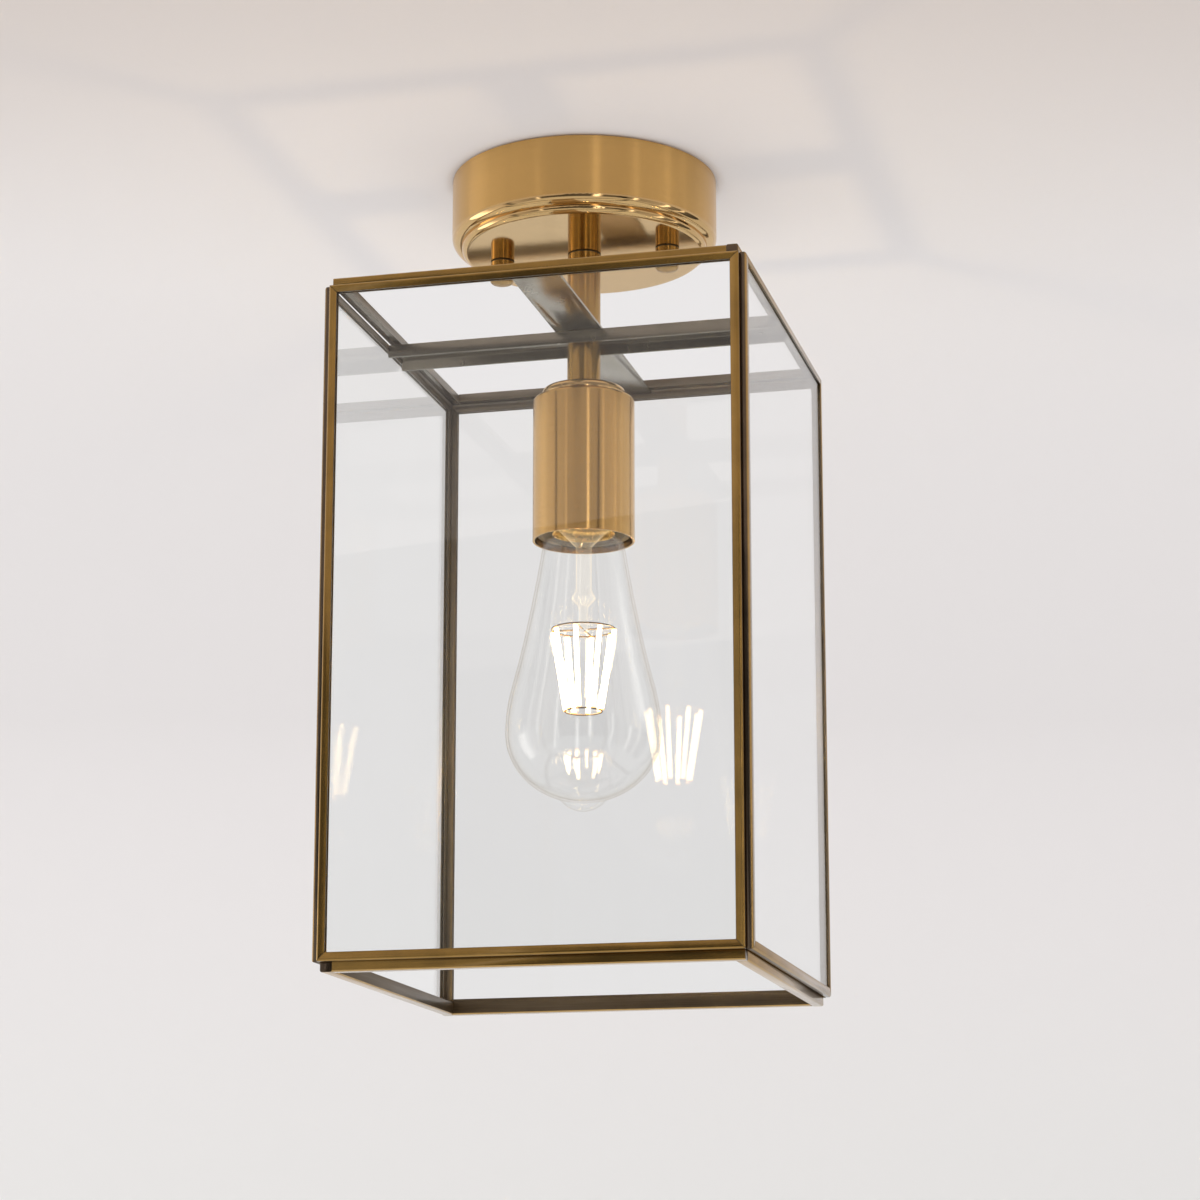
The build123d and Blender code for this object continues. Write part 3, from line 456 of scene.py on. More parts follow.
def bronze_finish(name, colours, along, fold, rub_highlight, dark, inside, painted_underside, over=None):
    """Aged lacquered metal: brown-gold outside, dull inside, with painted highlights on folds and dark end
    faces.

    The metal is drawn along one axis. Folds that turn towards the fold direction get a painted highlight,
    partly wear, and faces across the dark axis are painted dark, partly oxide and partly painted shade.
    Undersides have a colour of their own, painted paler or darker. Where a colour for the tops is given,
    the tops are painted paler and matt for the light they catch, and only the outer folds get the
    highlight.
    """
    material, tree = new_finish(name)
    place = tree.place()
    facing = tree.facing()
    drawn = [1.0, 1.0, 1.0]
    drawn[along] = 0.02
    patches = tree.noise(place, scale=60.0, detail=3.0, roughness=0.55)
    streaks = tree.noise(tree.stretch(place, drawn), scale=2200.0, detail=2.0)
    # Folds turned towards the fold direction get a painted highlight, partly wear
    turned = tree.dot(facing, fold)
    rubbed_highlight = tree.rise(turned, 0.12, 0.45) * tree.rise(turned, 0.97, 0.75) * rub_highlight
    outward = tree.dot(tree.stretch(place, LEVEL), facing)
    if over:
        rubbed_highlight = rubbed_highlight * tree.rise(outward, -0.005, 0.010)
    inner = tree.rise(outward, -0.010, -0.030) * (1.0 - rubbed_highlight * 0.9)
    height = tree.part(facing, "Z")
    aged = tree.rise(patches * 0.6 + streaks * 0.4, 0.30, 0.68)
    outside = tree.shades(aged, colours.bronze, 0.74, 1.08)
    dull = tree.shades(patches * 0.4 + streaks * 0.6, inside, 0.45, 1.65)
    below = tree.shades(streaks, painted_underside, 0.75, 1.25)
    patina_and_shade = tree.shades(patches, colours.bronze_patina_and_shade, 0.5, 1.7)
    # End faces across the dark axis are painted dark: partly oxide, partly painted shade
    metal = tree.tint(tree.rise(abs(tree.part(facing, dark)), *SQUARE), outside, patina_and_shade)
    metal = tree.tint(inner, metal, dull)
    # Downward faces: painted paler on the lower rails as a painted reflection, darker under uprights and
    # lower channels
    metal = tree.tint(tree.rise(-height, *SQUARE), metal, below)
    # Highlight colour on those folds: painted highlight, partly wear
    metal = tree.tint(rubbed_highlight * tree.between(patches, 0.5, 1.3), metal, colours.worn_highlight)
    metallic = 1.0 - inner * 0.3
    # Tops painted paler and matt: painted light
    if over:
        painted_top_mask = tree.rise(height, *SQUARE)
        metal = tree.tint(painted_top_mask, metal, tree.shades(patches, over, 0.80, 1.15))
        metallic = metallic * (1.0 - painted_top_mask * 0.7)
    roughness = tree.between(streaks * 0.6 + patches * 0.4, 0.16, 0.32)
    dull_roughness = tree.between(patches, 0.26, 0.44)
    tree.surface(tree.principled({
        "Base Color": metal, "Metallic": metallic,
        "Roughness": roughness * (1.0 - inner) + dull_roughness * inner,
        "Coat Weight": 0.5 - inner * 0.4, "Coat Roughness": 0.10, "Coat IOR": 1.5,
        "Normal": tree.bump(streaks * 0.5 + patches * 0.5, strength=0.06, distance=0.00006),
    }))
    return material


def cross_finish(name, base, over):
    """Cross: smooth grey metal below, and a top painted paler and matt for the light that falls on it."""
    material, tree = new_finish(name)
    place = tree.place()
    patches = tree.noise(place, scale=80.0, detail=4.0, roughness=0.6)
    streaks = tree.noise(tree.stretch(place, (1.0, 1.0, 0.2)), scale=500.0)
    # Tops painted paler and matt: painted light
    upper = tree.rise(tree.part(tree.facing(), "Z"), 0.45, 0.75)
    grey = tree.shades(patches, base, 0.70, 1.30)
    pale = tree.shades(patches, over, 0.85, 1.12)
    tree.surface(tree.principled({
        "Base Color": tree.tint(upper, grey, pale), "Metallic": 1.0 - upper * 0.7,
        "Roughness": tree.between(patches * 0.6 + streaks * 0.4, 0.16, 0.34),
        "Normal": tree.bump(patches * 0.5 + streaks * 0.5, strength=0.05, distance=0.0001),
    }))
    return material


def dull_finish(name, base, smooth, rough):
    """Dull dark metal or solder."""
    material, tree = new_finish(name)
    patches = tree.noise(tree.place(), scale=110.0, detail=4.0, roughness=0.6)
    grain = tree.noise(tree.place(), scale=1300.0, detail=2.0)
    tree.surface(tree.principled({
        "Base Color": tree.shades(patches, base, 0.6, 1.5), "Metallic": 1.0,
        "Roughness": tree.between(patches * 0.6 + grain * 0.4, smooth, rough),
        "Normal": tree.bump(patches * 0.6 + grain * 0.4, strength=0.16, distance=0.00015),
    }))
    return material


def worn_highlight_finish(colours):
    """Bright metal of the frame's edges: partly wear, partly a painted highlight."""
    material, tree = new_finish("worn_highlight_edge_brass")
    rub_highlight = tree.noise(tree.place(), scale=160.0, detail=3.0, roughness=0.6)
    tree.surface(tree.principled({
        "Base Color": tree.tint(tree.rise(rub_highlight, 0.32, 0.62), colours.bronze, colours.worn_highlight),
        "Metallic": 1.0, "Roughness": tree.between(rub_highlight, 0.36, 0.22),
    }))
    return material


def pane_finish(tint):
    """Clear glass with a faint ripple, which lets the light of lamps through."""
    material, tree = new_finish("pane_glass")
    wave = tree.noise(tree.place(), scale=9.0, detail=1.0)
    film = tree.noise(tree.place(), scale=24.0, detail=4.0, roughness=0.6)
    glass = tree.principled({
        "Base Color": tree.tint(film, shade(tint, 0.985), tint), "Roughness": 0.0, "IOR": 1.47,
        "Transmission Weight": 1.0, "Normal": tree.bump(wave, strength=0.02, distance=0.0004),
    })
    clear = tree.add("ShaderNodeBsdfTransparent", None, {"Color": tint})
    shadow = tree.add("ShaderNodeLightPath", output="Is Shadow Ray")
    tree.surface(tree.mix(shadow, glass, clear))
    return material


def thin_glass_finish(name, colours, lit, nub=None):
    """Thin blown glass: clear, with a darker and more mirror-like outline, and a painted glow where one is
    given.

    Where the height of an exhaust nub is given, the glass up to it is thicker and mirrors more.
    """
    material, tree = new_finish(name)
    wave = tree.noise(tree.place(), scale=30.0, detail=1.0)
    film = tree.noise(tree.place(), scale=40.0, detail=4.0, roughness=0.6)
    slant = tree.add("ShaderNodeLayerWeight", None, {"Blend": 0.5}, output="Facing")
    clear = tree.add("ShaderNodeBsdfTransparent", None, {"Color": colours.bulb})
    outline = tree.add("ShaderNodeBsdfTransparent", None, {"Color": colours.bulb_rim})
    through = tree.mix(slant ** 8.0, clear, outline)
    # Emission on the glass is a painted glow; the glass is no lamp
    mirror = tree.principled({
        "Base Color": tree.tint(film, shade(colours.bulb, 0.94), colours.bulb),
        "Metallic": 1.0, "Roughness": 0.01,
        "Emission Color": colours.glow, "Emission Strength": lit,
        "Normal": tree.bump(wave, strength=0.03, distance=0.0004),
    })
    gloss = slant ** 5.0 * 0.45 + 0.045
    if nub:
        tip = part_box("bulb_glass")[0].z
        thick = tree.rise(tree.part(tree.place(), "Z"), tip + nub, tip + nub * 0.6)
        gloss = gloss + thick * 0.12
    tree.surface(tree.mix(gloss, through, mirror))
    return material


def glow_finish(colours, stage):
    """Lit filament rods, warmer and dimmer at their ends."""
    material, tree = new_finish("filament_light")
    grain = tree.noise(tree.place(), scale=700.0, detail=2.0)
    low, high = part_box("filaments")
    end_length = 0.003
    z = tree.part(tree.place(), "Z")
    middle = tree.rise(z, high.z, high.z - end_length) * tree.rise(z, low.z, low.z + end_length)
    red, green, blue = colours.glow[:3]
    ends = (red * 0.10, green * 0.055, blue * 0.02, 1.0)
    light = tree.tint(middle, ends, tree.tint(grain, shade(colours.glow, 0.85), colours.glow))
    tree.surface(tree.principled({
        "Base Color": light, "Roughness": 0.5,
        "Emission Color": light, "Emission Strength": stage.glow_strength,
    }))
    return material


def moulded_finish(name, base, roughness, grain, bump):
    """Moulded plastic or glass with a fine grain, given as its scale, and faint flow marks."""
    material, tree = new_finish(name)
    fine = tree.noise(tree.place(), scale=grain)
    flow = tree.noise(tree.place(), scale=45.0, detail=2.0)
    tree.surface(tree.principled({
        "Base Color": tree.shades(flow, base, 0.85, 1.12),
        "Roughness": tree.between(fine, roughness - 0.08, roughness + 0.10),
        "Normal": tree.bump(fine, strength=bump, distance=0.00008),
    }))
    return material


def plated_finish(name, base, roughness, metallic=1.0):
    """Plated or bare metal with a fine mottle."""
    material, tree = new_finish(name)
    mottle = tree.noise(tree.place(), scale=260.0, detail=4.0, roughness=0.6)
    tree.surface(tree.principled({
        "Base Color": tree.shades(mottle, base, 0.82, 1.12), "Metallic": metallic,
        "Roughness": tree.between(mottle, roughness - 0.07, roughness + 0.10),
        "Normal": tree.bump(mottle, strength=0.08, distance=0.00006),
    }))
    return material


def striped_finish(name, base, stripe):
    """Glossy wire sleeve with a lengthwise stripe on both sides."""
    material, tree = new_finish(name)
    side = abs(tree.part(tree.facing(), "X"))
    grain = tree.noise(tree.place(), scale=500.0, detail=2.0)
    tree.surface(tree.principled({
        "Base Color": tree.tint(tree.rise(side, 0.66, 0.74), base, stripe),
        "Roughness": tree.between(grain, 0.30, 0.42),
        "Normal": tree.bump(grain, strength=0.04, distance=0.00005),
    }))
    return material


# Pieces

def dress(node, *materials):
    """Give a CAD node its finish and smooth shading with sharp edges."""
    piece = NODES[node]
    piece.data.materials.clear()
    for material in materials:
        piece.data.materials.append(material)
    piece.data.shade_smooth()
    piece.data.set_sharp_from_angle(angle=NODE_SMOOTHING)
    return piece


def break_edges(piece, width, finish):
    """Narrow bevel along the sharp edges, in the finish of one of the piece's slots."""
    weld = piece.modifiers.new("joined_faces", "WELD")
    weld.merge_threshold = WELD_DISTANCE
    bevel = piece.modifiers.new("broken_edges", "BEVEL")
    bevel.width = width
    bevel.segments = BEVEL_SEGMENTS
    bevel.limit_method = "ANGLE"
    bevel.angle_limit = BEVEL_TURN
    bevel.material = finish
    bevel.harden_normals = True


def new_piece(name, vertices, faces, body, material):
    """Add a mesh piece that rides on a body."""
    mesh = bpy.data.meshes.new(name)
    mesh.from_pydata(vertices, [], faces)
    mesh.validate()
    mesh.materials.append(material)
    mesh.shade_smooth()
    mesh.set_sharp_from_angle(angle=ADDED_SMOOTHING)
    piece = bpy.data.objects.new(name, mesh)
    bpy.context.scene.collection.objects.link(piece)
    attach(piece, body)
    return piece


def side_turn(side):
    """Turn of a side from the front, about +Z."""
    return SIDES.index(side) * math.pi / 2


def turned_point(point, turn):
    """Point turned about the Z axis."""
    x, y, z = point
    return (x * math.cos(turn) - y * math.sin(turn), x * math.sin(turn) + y * math.cos(turn), z)


def quarter_turn(steps):
    """Sine and cosine at even steps through a quarter turn."""
    angles = [math.pi / 2 * step / steps for step in range(steps + 1)]
    return [(math.sin(angle), math.cos(angle)) for angle in angles]


def prism_faces(start, count):
    """Faces of a prism between two outlines of some points, numbered one after the other."""
    faces = [list(range(start, start + count)), list(reversed(range(start + count, start + 2 * count)))]
    for number in range(count):
        first, second = start + number, start + (number + 1) % count
        faces.append([first, first + count, second + count, second])
    return faces


def solder_corners(side, radius, depth):
    """Concave solder webs in the two upper inside corners of one panel, drawn for the front."""
    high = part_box("front_channel_left")[1]
    left, back = high.x, high.y
    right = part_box("front_channel_right")[0].x
    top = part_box("front_channel_top")[0].z
    vertices, faces = [], []
    for x, inward in ((left, 1), (right, -1)):
        outline = [(x - inward * depth, top + depth)]
        outline += [
            (x + inward * radius * (1 - sine), top - radius * (1 - cosine))
            for sine, cosine in quarter_turn(WEB_STEPS)
        ]
        faces += prism_faces(len(vertices), len(outline))
        for y in (back - depth, back):
            vertices += [turned_point((px, y, pz), side_turn(side)) for px, pz in outline]
    return vertices, faces


def solder_bead(side, depth, height):
    """Concave solder along the joint of one panel and its top rail, drawn for the front.

    The left panel is soldered only along its back half, so that light shows through the rest of its joint.
    """
    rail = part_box("front_top_rail")[0]
    face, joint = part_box("front_channel_top")[1].y, rail.z
    start = rail.x
    end = -start if side != "left" else 0.0
    outline = [(face - depth / 4, joint)]
    outline += [
        (face + depth * (1 - sine), joint - height * (1 - cosine))
        for sine, cosine in quarter_turn(BEAD_STEPS)
    ]
    vertices = [turned_point((x, y, z), side_turn(side)) for x in (start, end) for y, z in outline]
    return vertices, prism_faces(0, len(outline))


def rolled_cap(sizes):
    """Thin screw cap with a rolled round thread, in the space of the CAD cap."""
    low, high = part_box("bulb_cap")
    radius, top, bottom = high.x, high.z, low.z
    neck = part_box("bulb_insulator")[1].x
    lead, wall = 0.0018, 0.0004
    run_in, run_out = 0.002, 0.003
    rows_per_turn = 14
    segments = sizes.cap_segments
    rows = round((top - bottom - lead) / sizes.cap_pitch * rows_per_turn)
    heights = [top - lead - (top - lead - bottom) * row / rows for row in range(rows + 1)]
    vertices, faces = [], []

    def ring(z, radius_at):
        for segment in range(segments):
            angle = 2 * math.pi * segment / segments
            r = radius_at(angle)
            vertices.append((r * math.cos(angle), r * math.sin(angle), z))

    def thread(z, inset):
        fade = min(1.0, max(0.0, (top - lead - z) / run_in), max(0.0, (z - bottom) / run_out))

        def radius_at(angle):
            phase = 2 * math.pi * z / sizes.cap_pitch - angle
            return radius - inset - sizes.cap_depth * fade * (0.5 - 0.5 * math.cos(phase))
        return radius_at

    ring(top, lambda angle: neck)
    for z in heights:
        ring(z, thread(z, 0.0))
    for z in reversed(heights):
        ring(z, thread(z, wall))
    rings = len(vertices) // segments
    for row in range(rings - 1):
        for segment in range(segments):
            following = (segment + 1) % segments
            first, second = row * segments, (row + 1) * segments
            faces.append((first + segment, second + segment, second + following, first + following))
    return vertices, faces


class LANTERN_OT_canopy(Operator):
    """Finish the canopy, its thumb nuts and the stem"""

    bl_idname = "lantern.canopy"
    bl_label = "Canopy and stem"

    def execute(self, context):
        sizes, colours = context.scene.lantern_sizes, context.scene.lantern_colours
        dress("canopy", canopy_finish(colours, sizes))
        stem = stem_finish(colours, sizes)
        for node in ("upper_stem", "lower_stem", "thumb_nut_left", "thumb_nut_right"):
            dress(node, stem)
        return {"FINISHED"}


class LANTERN_OT_bracket(Operator):
    """Finish the metal that the canopy and the lampholder hide"""

    bl_idname = "lantern.bracket"
    bl_label = "Ceiling bracket and hidden metal"

    def execute(self, context):
        sizes, colours = context.scene.lantern_sizes, context.scene.lantern_colours
        zinc = plated_finish("zinc_steel", colours.zinc, roughness=0.34)
        for node in ("mounting_strap", "lock_nuts", "stem_nut"):
            dress(node, zinc)
        dress("canopy_studs", threaded_finish("stud_steel", colours.zinc, sizes.stud_pitch))
        dress("nipple", threaded_finish("nipple_steel", colours.zinc, sizes.nipple_pitch))
        brass = plated_finish("plain_brass", colours.plain_brass, roughness=0.32)
        for node in ("earth_screw", "earth_tag", "terminal_screws", "holder_contact"):
            dress(node, brass)
        shell = plated_finish("shell_brass", colours.plain_brass, roughness=0.40, metallic=0.3)
        dress("holder_shell", shell)
        return {"FINISHED"}


class LANTERN_OT_frame(Operator):
    """Finish the lantern's channels, rails and cross, and add the solder in the corners"""

    bl_idname = "lantern.frame"
    bl_label = "Lantern frame"

    def execute(self, context):
        sizes, colours = context.scene.lantern_sizes, context.scene.lantern_colours
        # The rails' edge bevels take the painted highlight, partly wear
        worn_highlight = worn_highlight_finish(colours)
        # Dark colour on the channels' edge bevels: painted shade, and a dark joint at the mitres
        seam = dull_finish("edge_line_shade", colours.bronze_patina_and_shade, smooth=0.40, rough=0.60)
        inside, low, darker_underside = colours.inside, colours.inside_low, colours.bronze_patina_and_shade
        for number, side in enumerate(SIDES):
            run = number % 2
            fold = turned_point((-1.0, 0.0, 0.0), side_turn(side))
            upright = bronze_finish(
                f"{side}_uprights", colours, along=2, fold=fold, rub_highlight=0.6, dark=run, inside=inside,
                painted_underside=darker_underside,
            )
            upper = bronze_finish(
                f"{side}_top", colours, along=run, fold=UP, rub_highlight=0.5, dark=run, inside=inside, painted_underside=inside,
                over=colours.over,
            )
            lower = bronze_finish(
                f"{side}_bottom", colours, along=run, fold=DOWN, rub_highlight=0.15, dark=run, inside=low,
                painted_underside=darker_underside,
            )
            rail = bronze_finish(
                f"{side}_bottom_bar", colours, along=run, fold=DOWN, rub_highlight=0.8, dark=run, inside=low,
                painted_underside=colours.painted_underside,
            )
            edges = {"left": upright, "right": upright, "top": upper, "bottom": lower}
            for edge, finish in edges.items():
                break_edges(dress(f"{side}_channel_{edge}", finish, seam), sizes.seam, 1)
            break_edges(dress(f"{side}_top_rail", upper, worn_highlight), sizes.edge_wear_highlight, 1)
            break_edges(dress(f"{side}_bottom_rail", rail, worn_highlight), sizes.edge_wear_highlight, 1)
        for node, base in (("cross_strap", colours.strap), ("cross_bar", colours.bar)):
            cross = cross_finish(f"{node}_metal", base, colours.over)
            break_edges(dress(node, cross), sizes.edge_wear_highlight, 0)
        solder = dull_finish("corner_solder", colours.solder, smooth=0.34, rough=0.52)
        for side in ("right", "back", "left"):
            vertices, faces = solder_corners(side, sizes.solder_radius, sizes.solder_depth)
            new_piece(f"{side}_solder", vertices, faces, "lantern", solder)
        for side in SIDES:
            vertices, faces = solder_bead(side, sizes.bead_depth, sizes.bead_height)
            new_piece(f"{side}_top_bead", vertices, faces, "lantern", solder)
        return {"FINISHED"}


class LANTERN_OT_panes(Operator):
    """Finish the four panes"""

    bl_idname = "lantern.panes"
    bl_label = "Panes"

    def execute(self, context):
        glass = pane_finish(context.scene.lantern_colours.glass)
        for side in SIDES:
            dress(f"{side}_pane", glass)
        return {"FINISHED"}


class LANTERN_OT_lampholder(Operator):
    """Finish the cup, its cap and the lampholder inside"""

    bl_idname = "lantern.lampholder"
    bl_label = "Lampholder"

    def execute(self, context):
        sizes, colours = context.scene.lantern_sizes, context.scene.lantern_colours
        dress("lampholder_cup", cup_finish(colours, sizes))
        dress("cup_cap", polished_finish("cup_cap_brass", colours.polished, roughness=0.16))
        plastic = moulded_finish("holder_plastic", colours.holder, roughness=0.42, grain=900.0, bump=0.06)
        dress("holder_body", plastic)
        return {"FINISHED"}


class LANTERN_OT_bulb(Operator):
    """Finish the bulb and roll the thread of its cap"""

    bl_idname = "lantern.bulb"
    bl_label = "Bulb"

    def execute(self, context):
        sizes, colours = context.scene.lantern_sizes, context.scene.lantern_colours
        dress("bulb_glass", thin_glass_finish("bulb_glass", colours, lit=0.0, nub=sizes.nub_height))
        # The stem glass gets a painted glow
        dress("bulb_mount", thin_glass_finish("stem_glass_painted_glow", colours, lit=1.4))
        dress("filaments", glow_finish(colours, context.scene.lantern_stage))
        dress("filament_wires", plated_finish("support_wire", colours.wire, roughness=0.46))
        dress("bulb_tip_contact", plated_finish("tip_solder", colours.zinc, roughness=0.36))
        black = moulded_finish("black_glass", colours.black, roughness=0.18, grain=300.0, bump=0.03)
        dress("bulb_insulator", black)
        cap_brass = plated_finish("cap_brass", colours.cap, roughness=0.26, metallic=0.7)
        vertices, faces = rolled_cap(sizes)
        cap = new_piece("bulb_screw_cap", vertices, faces, "bulb", cap_brass)
        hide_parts("bulb_cap")
        return {"FINISHED"}


class LANTERN_OT_wiring(Operator):
    """Finish the terminal block and the wires"""

    bl_idname = "lantern.wiring"
    bl_label = "Wiring"

    def execute(self, context):
        colours = context.scene.lantern_colours
        nylon = moulded_finish("terminal_nylon", colours.nylon, roughness=0.46, grain=700.0, bump=0.05)
        dress("terminal_block", nylon)
        for name, base in (("live", colours.live), ("neutral", colours.neutral)):
            sleeve = moulded_finish(f"{name}_sleeve", base, roughness=0.36, grain=500.0, bump=0.04)
            dress(f"{name}_wire", sleeve)
        dress("earth_wire", striped_finish("earth_sleeve", colours.earth, colours.earth_stripe))
        return {"FINISHED"}


# Stage

def painted_finish(name, stage, own_light):
    """Matt paint that keeps shadows, seen paler than its light alone makes it.

    It is clear from behind, and light comes through it over the canopy, where the wires come in.
    """
    material, tree = new_finish(name)
    place = tree.place()
    mottle = tree.noise(place, scale=260.0, detail=4.0, roughness=0.6)
    forward = (-math.sin(stage.turn), math.cos(stage.turn), 0.0)
    # Painted shade: the ceiling darker towards the viewer
    overhead = tree.tint(
        tree.rise(tree.dot(place, forward), -0.30, 0.16), stage.ceiling_near_shade, stage.ceiling
    )
    raised = tree.rise(tree.part(place, "Z"), CEILING - 1.5 * stage.cove, CEILING)
    paint_colour = tree.tint(raised, stage.wall, overhead)
    paint = tree.principled({
        "Base Color": paint_colour, "Roughness": 0.9, "Specular IOR Level": 0.0,
        "Normal": tree.bump(mottle, strength=0.05, distance=0.0005),
    })
    path = tree.add("ShaderNodeLightPath", output="Is Camera Ray")
    seen = path + path.twin("Is Glossy Ray") + path.twin("Is Transmission Ray")
    apart = tree.add(
        "ShaderNodeVectorMath", {"operation": "LENGTH"}, {0: tree.stretch(place, LEVEL)}, output="Value"
    )
    # Painted contact shadow: the ceiling loses its own light on a ring round the canopy
    seen = seen * tree.rise(apart, CANOPY_RADIUS - 0.002, CANOPY_RADIUS + 0.005)
    pale = tree.add("ShaderNodeEmission", None, {"Color": paint_colour, "Strength": 1.0})
    paled = tree.mix(seen * own_light, paint, pale)
    behind = tree.add("ShaderNodeNewGeometry", output="Backfacing")
    hole = tree.rise(apart, CANOPY_RADIUS - 0.006, CANOPY_RADIUS - 0.008) * (1.0 - path)
    solid = (1.0 - behind) * (1.0 - hole)
    tree.surface(tree.mix(solid, tree.add("ShaderNodeBsdfTransparent"), paled))
    return material


def backdrop(stage):
    """Ceiling, wall and floor in one sheet with soft turns between them, square to the camera's view."""
    half = stage.room_width / 2
    cove = stage.cove
    top = CEILING + stage.ceiling_gap
    floor = CEILING - stage.floor_drop
    front = stage.wall_distance - stage.room_width
    turn_y = stage.wall_distance - cove
    bend = quarter_turn(COVE_STEPS)
    profile = [(-stage.ceiling_reach, top)]
    profile += [(turn_y + cove * sine, top - cove * (1 - cosine)) for sine, cosine in bend]
    profile += [(turn_y + cove * cosine, floor + cove * (1 - sine)) for sine, cosine in bend]
    profile.append((front, floor))
    vertices = [turned_point((x, y, z), stage.turn) for y, z in profile for x in (-half, half)]
    faces = [(2 * n, 2 * n + 2, 2 * n + 3, 2 * n + 1) for n in range(len(profile) - 1)]
    mesh = bpy.data.meshes.new("backdrop")
    mesh.from_pydata(vertices, [], faces)
    mesh.shade_smooth()
    mesh.materials.append(painted_finish("room_paint", stage, own_light=0.5))
    sheet = bpy.data.objects.new("backdrop", mesh)
    bpy.context.scene.collection.objects.link(sheet)


def hang_lamp(light, power, place):
    """Add a lamp that lights things but isn't seen itself."""
    light.energy = power
    thing = bpy.data.objects.new(light.name, light)
    thing.location = place
    thing.visible_camera = False
    thing.visible_glossy = False
    thing.visible_transmission = False
    bpy.context.scene.collection.objects.link(thing)
    return thing


def lamp(name, size, power, place, target):
    """Soft square lamp aimed at a point."""
    light = bpy.data.lights.new(name, "AREA")
    light.shape = "SQUARE"
    light.size = size
    thing = hang_lamp(light, power, place)
    thing.rotation_euler = (Vector(target) - Vector(place)).to_track_quat("-Z", "Y").to_euler()


def bulb_light(tint, power):
    """Light of the filaments on the ceiling, where the frame throws its shadow."""
    low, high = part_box("filaments")
    light = bpy.data.lights.new("bulb_light", "POINT")
    light.color = tint[:3]
    light.shadow_soft_size = (high.x - low.x) / 2
    hang_lamp(light, power, (low + high) / 2)


# Pale and dark bands that metal mirrors: place round the room from 0 to 1, and brightness
ROOM_BANDS = (
    (0.000, 0.95), (0.060, 1.70), (0.130, 2.00), (0.200, 1.70), (0.265, 1.30), (0.340, 0.95),
    (0.352, 0.10), (0.364, 0.80), (0.415, 0.45), (0.424, 0.45), (0.430, 2.40), (0.437, 0.20),
    (0.485, 0.14), (0.556, 0.20), (0.567, 5.00), (0.577, 0.22), (0.614, 0.24), (0.623, 0.04),
    (0.636, 0.04), (0.645, 0.40), (0.655, 0.50), (0.662, 4.20), (0.669, 0.50), (0.705, 0.65),
    (0.738, 0.75), (0.748, 4.20), (0.756, 0.35), (0.790, 0.30), (0.796, 3.00), (0.803, 0.20),
    (0.860, 0.08), (0.950, 0.25),
)
WINDOW_BRIGHTNESS = 3.8


def room_light(room):
    """Pale surroundings. Metal sees them brighter on the left, with a window, and dimmer on the right."""
    world = bpy.data.worlds.new("room_light")
    bpy.context.scene.world = world
    tree = Tree(world)
    x = tree.part(tree.add("ShaderNodeTexCoord", output="Generated"), "X")
    height = x.twin("Z")
    share = x.calculate("ARCTAN2", x, -x.twin("Y")) / (2 * math.pi) + 0.5
    stops = [(position, shade(room, brightness)) for position, brightness in ROOM_BANDS]
    bands = tree.add("ShaderNodeValToRGB", {"stops": stops}, {0: share})
    beside = tree.rise(share, 0.090, 0.160) * tree.rise(share, 0.300, 0.250)
    window = beside * tree.rise(height, -0.75, -0.55) * tree.rise(height, 0.06, -0.04)
    reflected = tree.tint(window, bands, shade(room, WINDOW_BRIGHTNESS))
    glossy = tree.add("ShaderNodeLightPath", output="Glossy Depth")
    mirrored = glossy.calculate("MINIMUM", glossy, 1.0) * (1.0 - glossy.twin("Is Diffuse Ray"))
    seen = tree.tint(mirrored, room, reflected)
    background = tree.add("ShaderNodeBackground", None, {"Color": seen, "Strength": 1.0})
    tree.add("ShaderNodeOutputWorld", None, {"Surface": background})


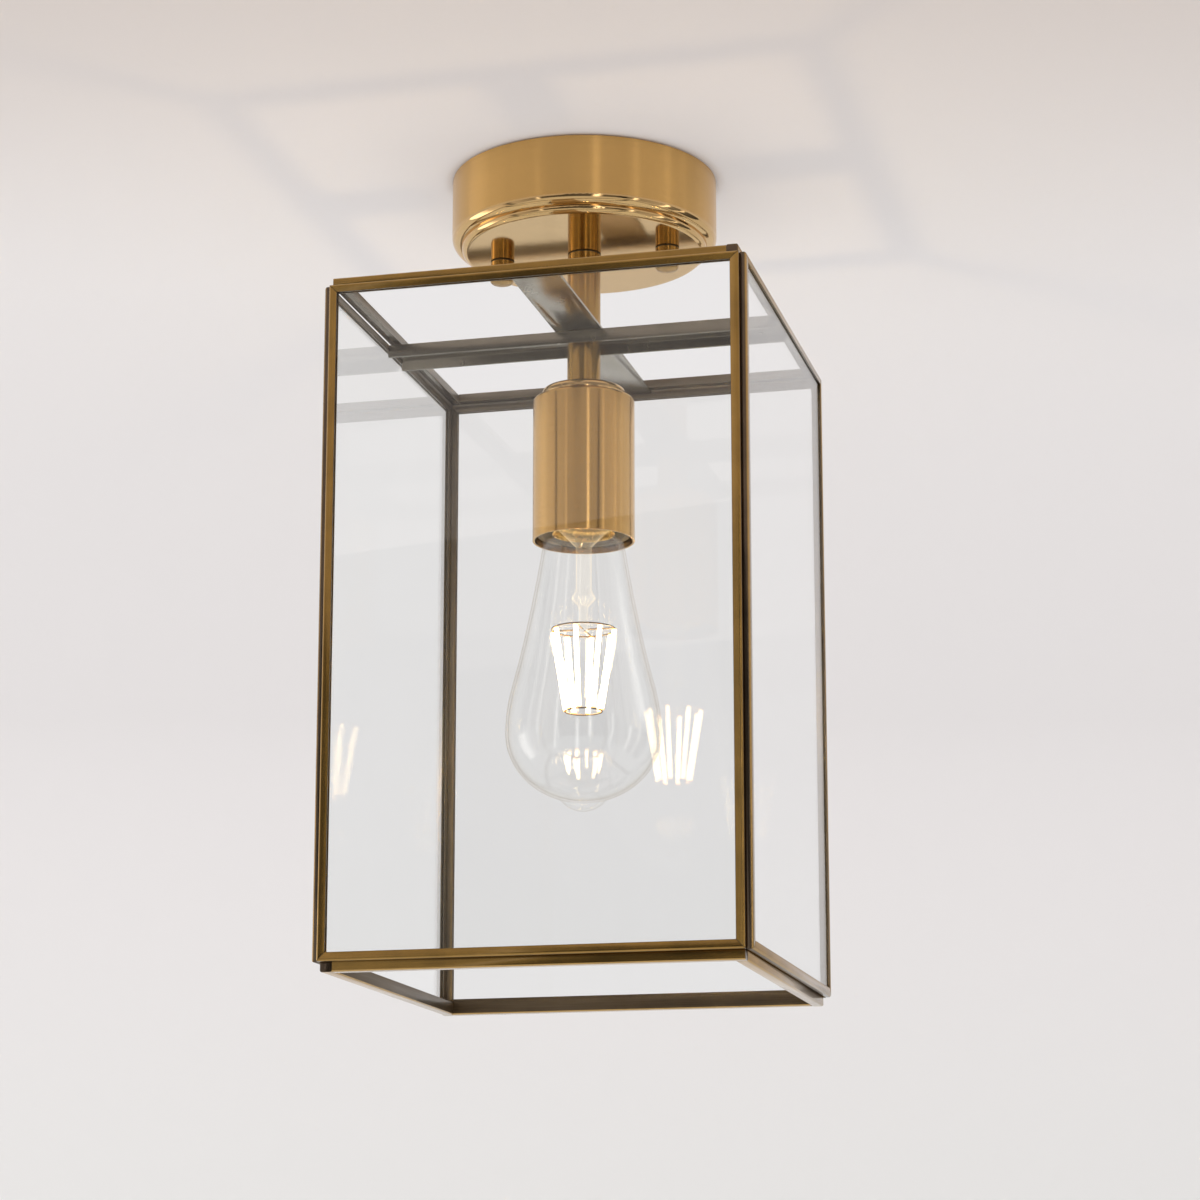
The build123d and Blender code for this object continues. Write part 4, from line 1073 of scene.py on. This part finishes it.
class LANTERN_OT_stage(Operator):
    """Build the room, its light and the camera"""

    bl_idname = "lantern.stage"
    bl_label = "Stage"

    def execute(self, context):
        stage = context.scene.lantern_stage
        backdrop(stage)
        middle = (0.0, 0.0, -0.2)
        lamp("window_light", size=1.6, power=26.0, place=(-2.2, -1.6, -0.9), target=middle)
        lamp("fill_light", size=1.8, power=12.0, place=(1.8, -2.2, -1.4), target=middle)
        bulb_light(context.scene.lantern_colours.glow, stage.glow_power)
        room_light(stage.room)
        camera = bpy.data.cameras.new("camera")
        camera.lens = stage.lens
        camera.shift_y = stage.shift
        viewer = bpy.data.objects.new("camera", camera)
        viewer.location = stage.viewpoint
        viewer.rotation_euler = (math.pi / 2 + stage.tilt, 0.0, stage.turn)
        context.scene.collection.objects.link(viewer)
        context.scene.camera = viewer
        context.scene.view_settings.view_transform = "Standard"
        return {"FINISHED"}


class LANTERN_PT_panel(Panel):
    """Sidebar list of the steps and their values"""

    bl_idname = "LANTERN_PT_panel"
    bl_label = "Lantern ceiling light"
    bl_space_type = "VIEW_3D"
    bl_region_type = "UI"
    bl_category = "Lantern"

    def draw(self, context):
        layout, scene = self.layout, context.scene
        for step in STEPS:
            layout.operator(step.bl_idname)
        for group in (scene.lantern_sizes, scene.lantern_colours, scene.lantern_stage):
            box = layout.box()
            for name in group.__annotations__:
                box.prop(group, name)


STEPS = (
    LANTERN_OT_canopy, LANTERN_OT_bracket, LANTERN_OT_frame, LANTERN_OT_panes, LANTERN_OT_lampholder,
    LANTERN_OT_bulb, LANTERN_OT_wiring, LANTERN_OT_stage,
)
CLASSES = (LanternSizes, LanternColours, LanternStage, *STEPS, LANTERN_PT_panel)


def register():
    """Add the classes and their values to Blender."""
    for kind in CLASSES:
        bpy.utils.register_class(kind)
    bpy.types.Scene.lantern_sizes = PointerProperty(type=LanternSizes)
    bpy.types.Scene.lantern_colours = PointerProperty(type=LanternColours)
    bpy.types.Scene.lantern_stage = PointerProperty(type=LanternStage)


def unregister():
    """Take the classes and their values out again."""
    del bpy.types.Scene.lantern_sizes
    del bpy.types.Scene.lantern_colours
    del bpy.types.Scene.lantern_stage
    for kind in reversed(CLASSES):
        bpy.utils.unregister_class(kind)


def main():
    """Build everything in order."""
    register()
    bpy.ops.lantern.canopy()
    bpy.ops.lantern.bracket()
    bpy.ops.lantern.frame()
    bpy.ops.lantern.panes()
    bpy.ops.lantern.lampholder()
    bpy.ops.lantern.bulb()
    bpy.ops.lantern.wiring()
    bpy.ops.lantern.stage()


if __name__ == "__main__":
    main()
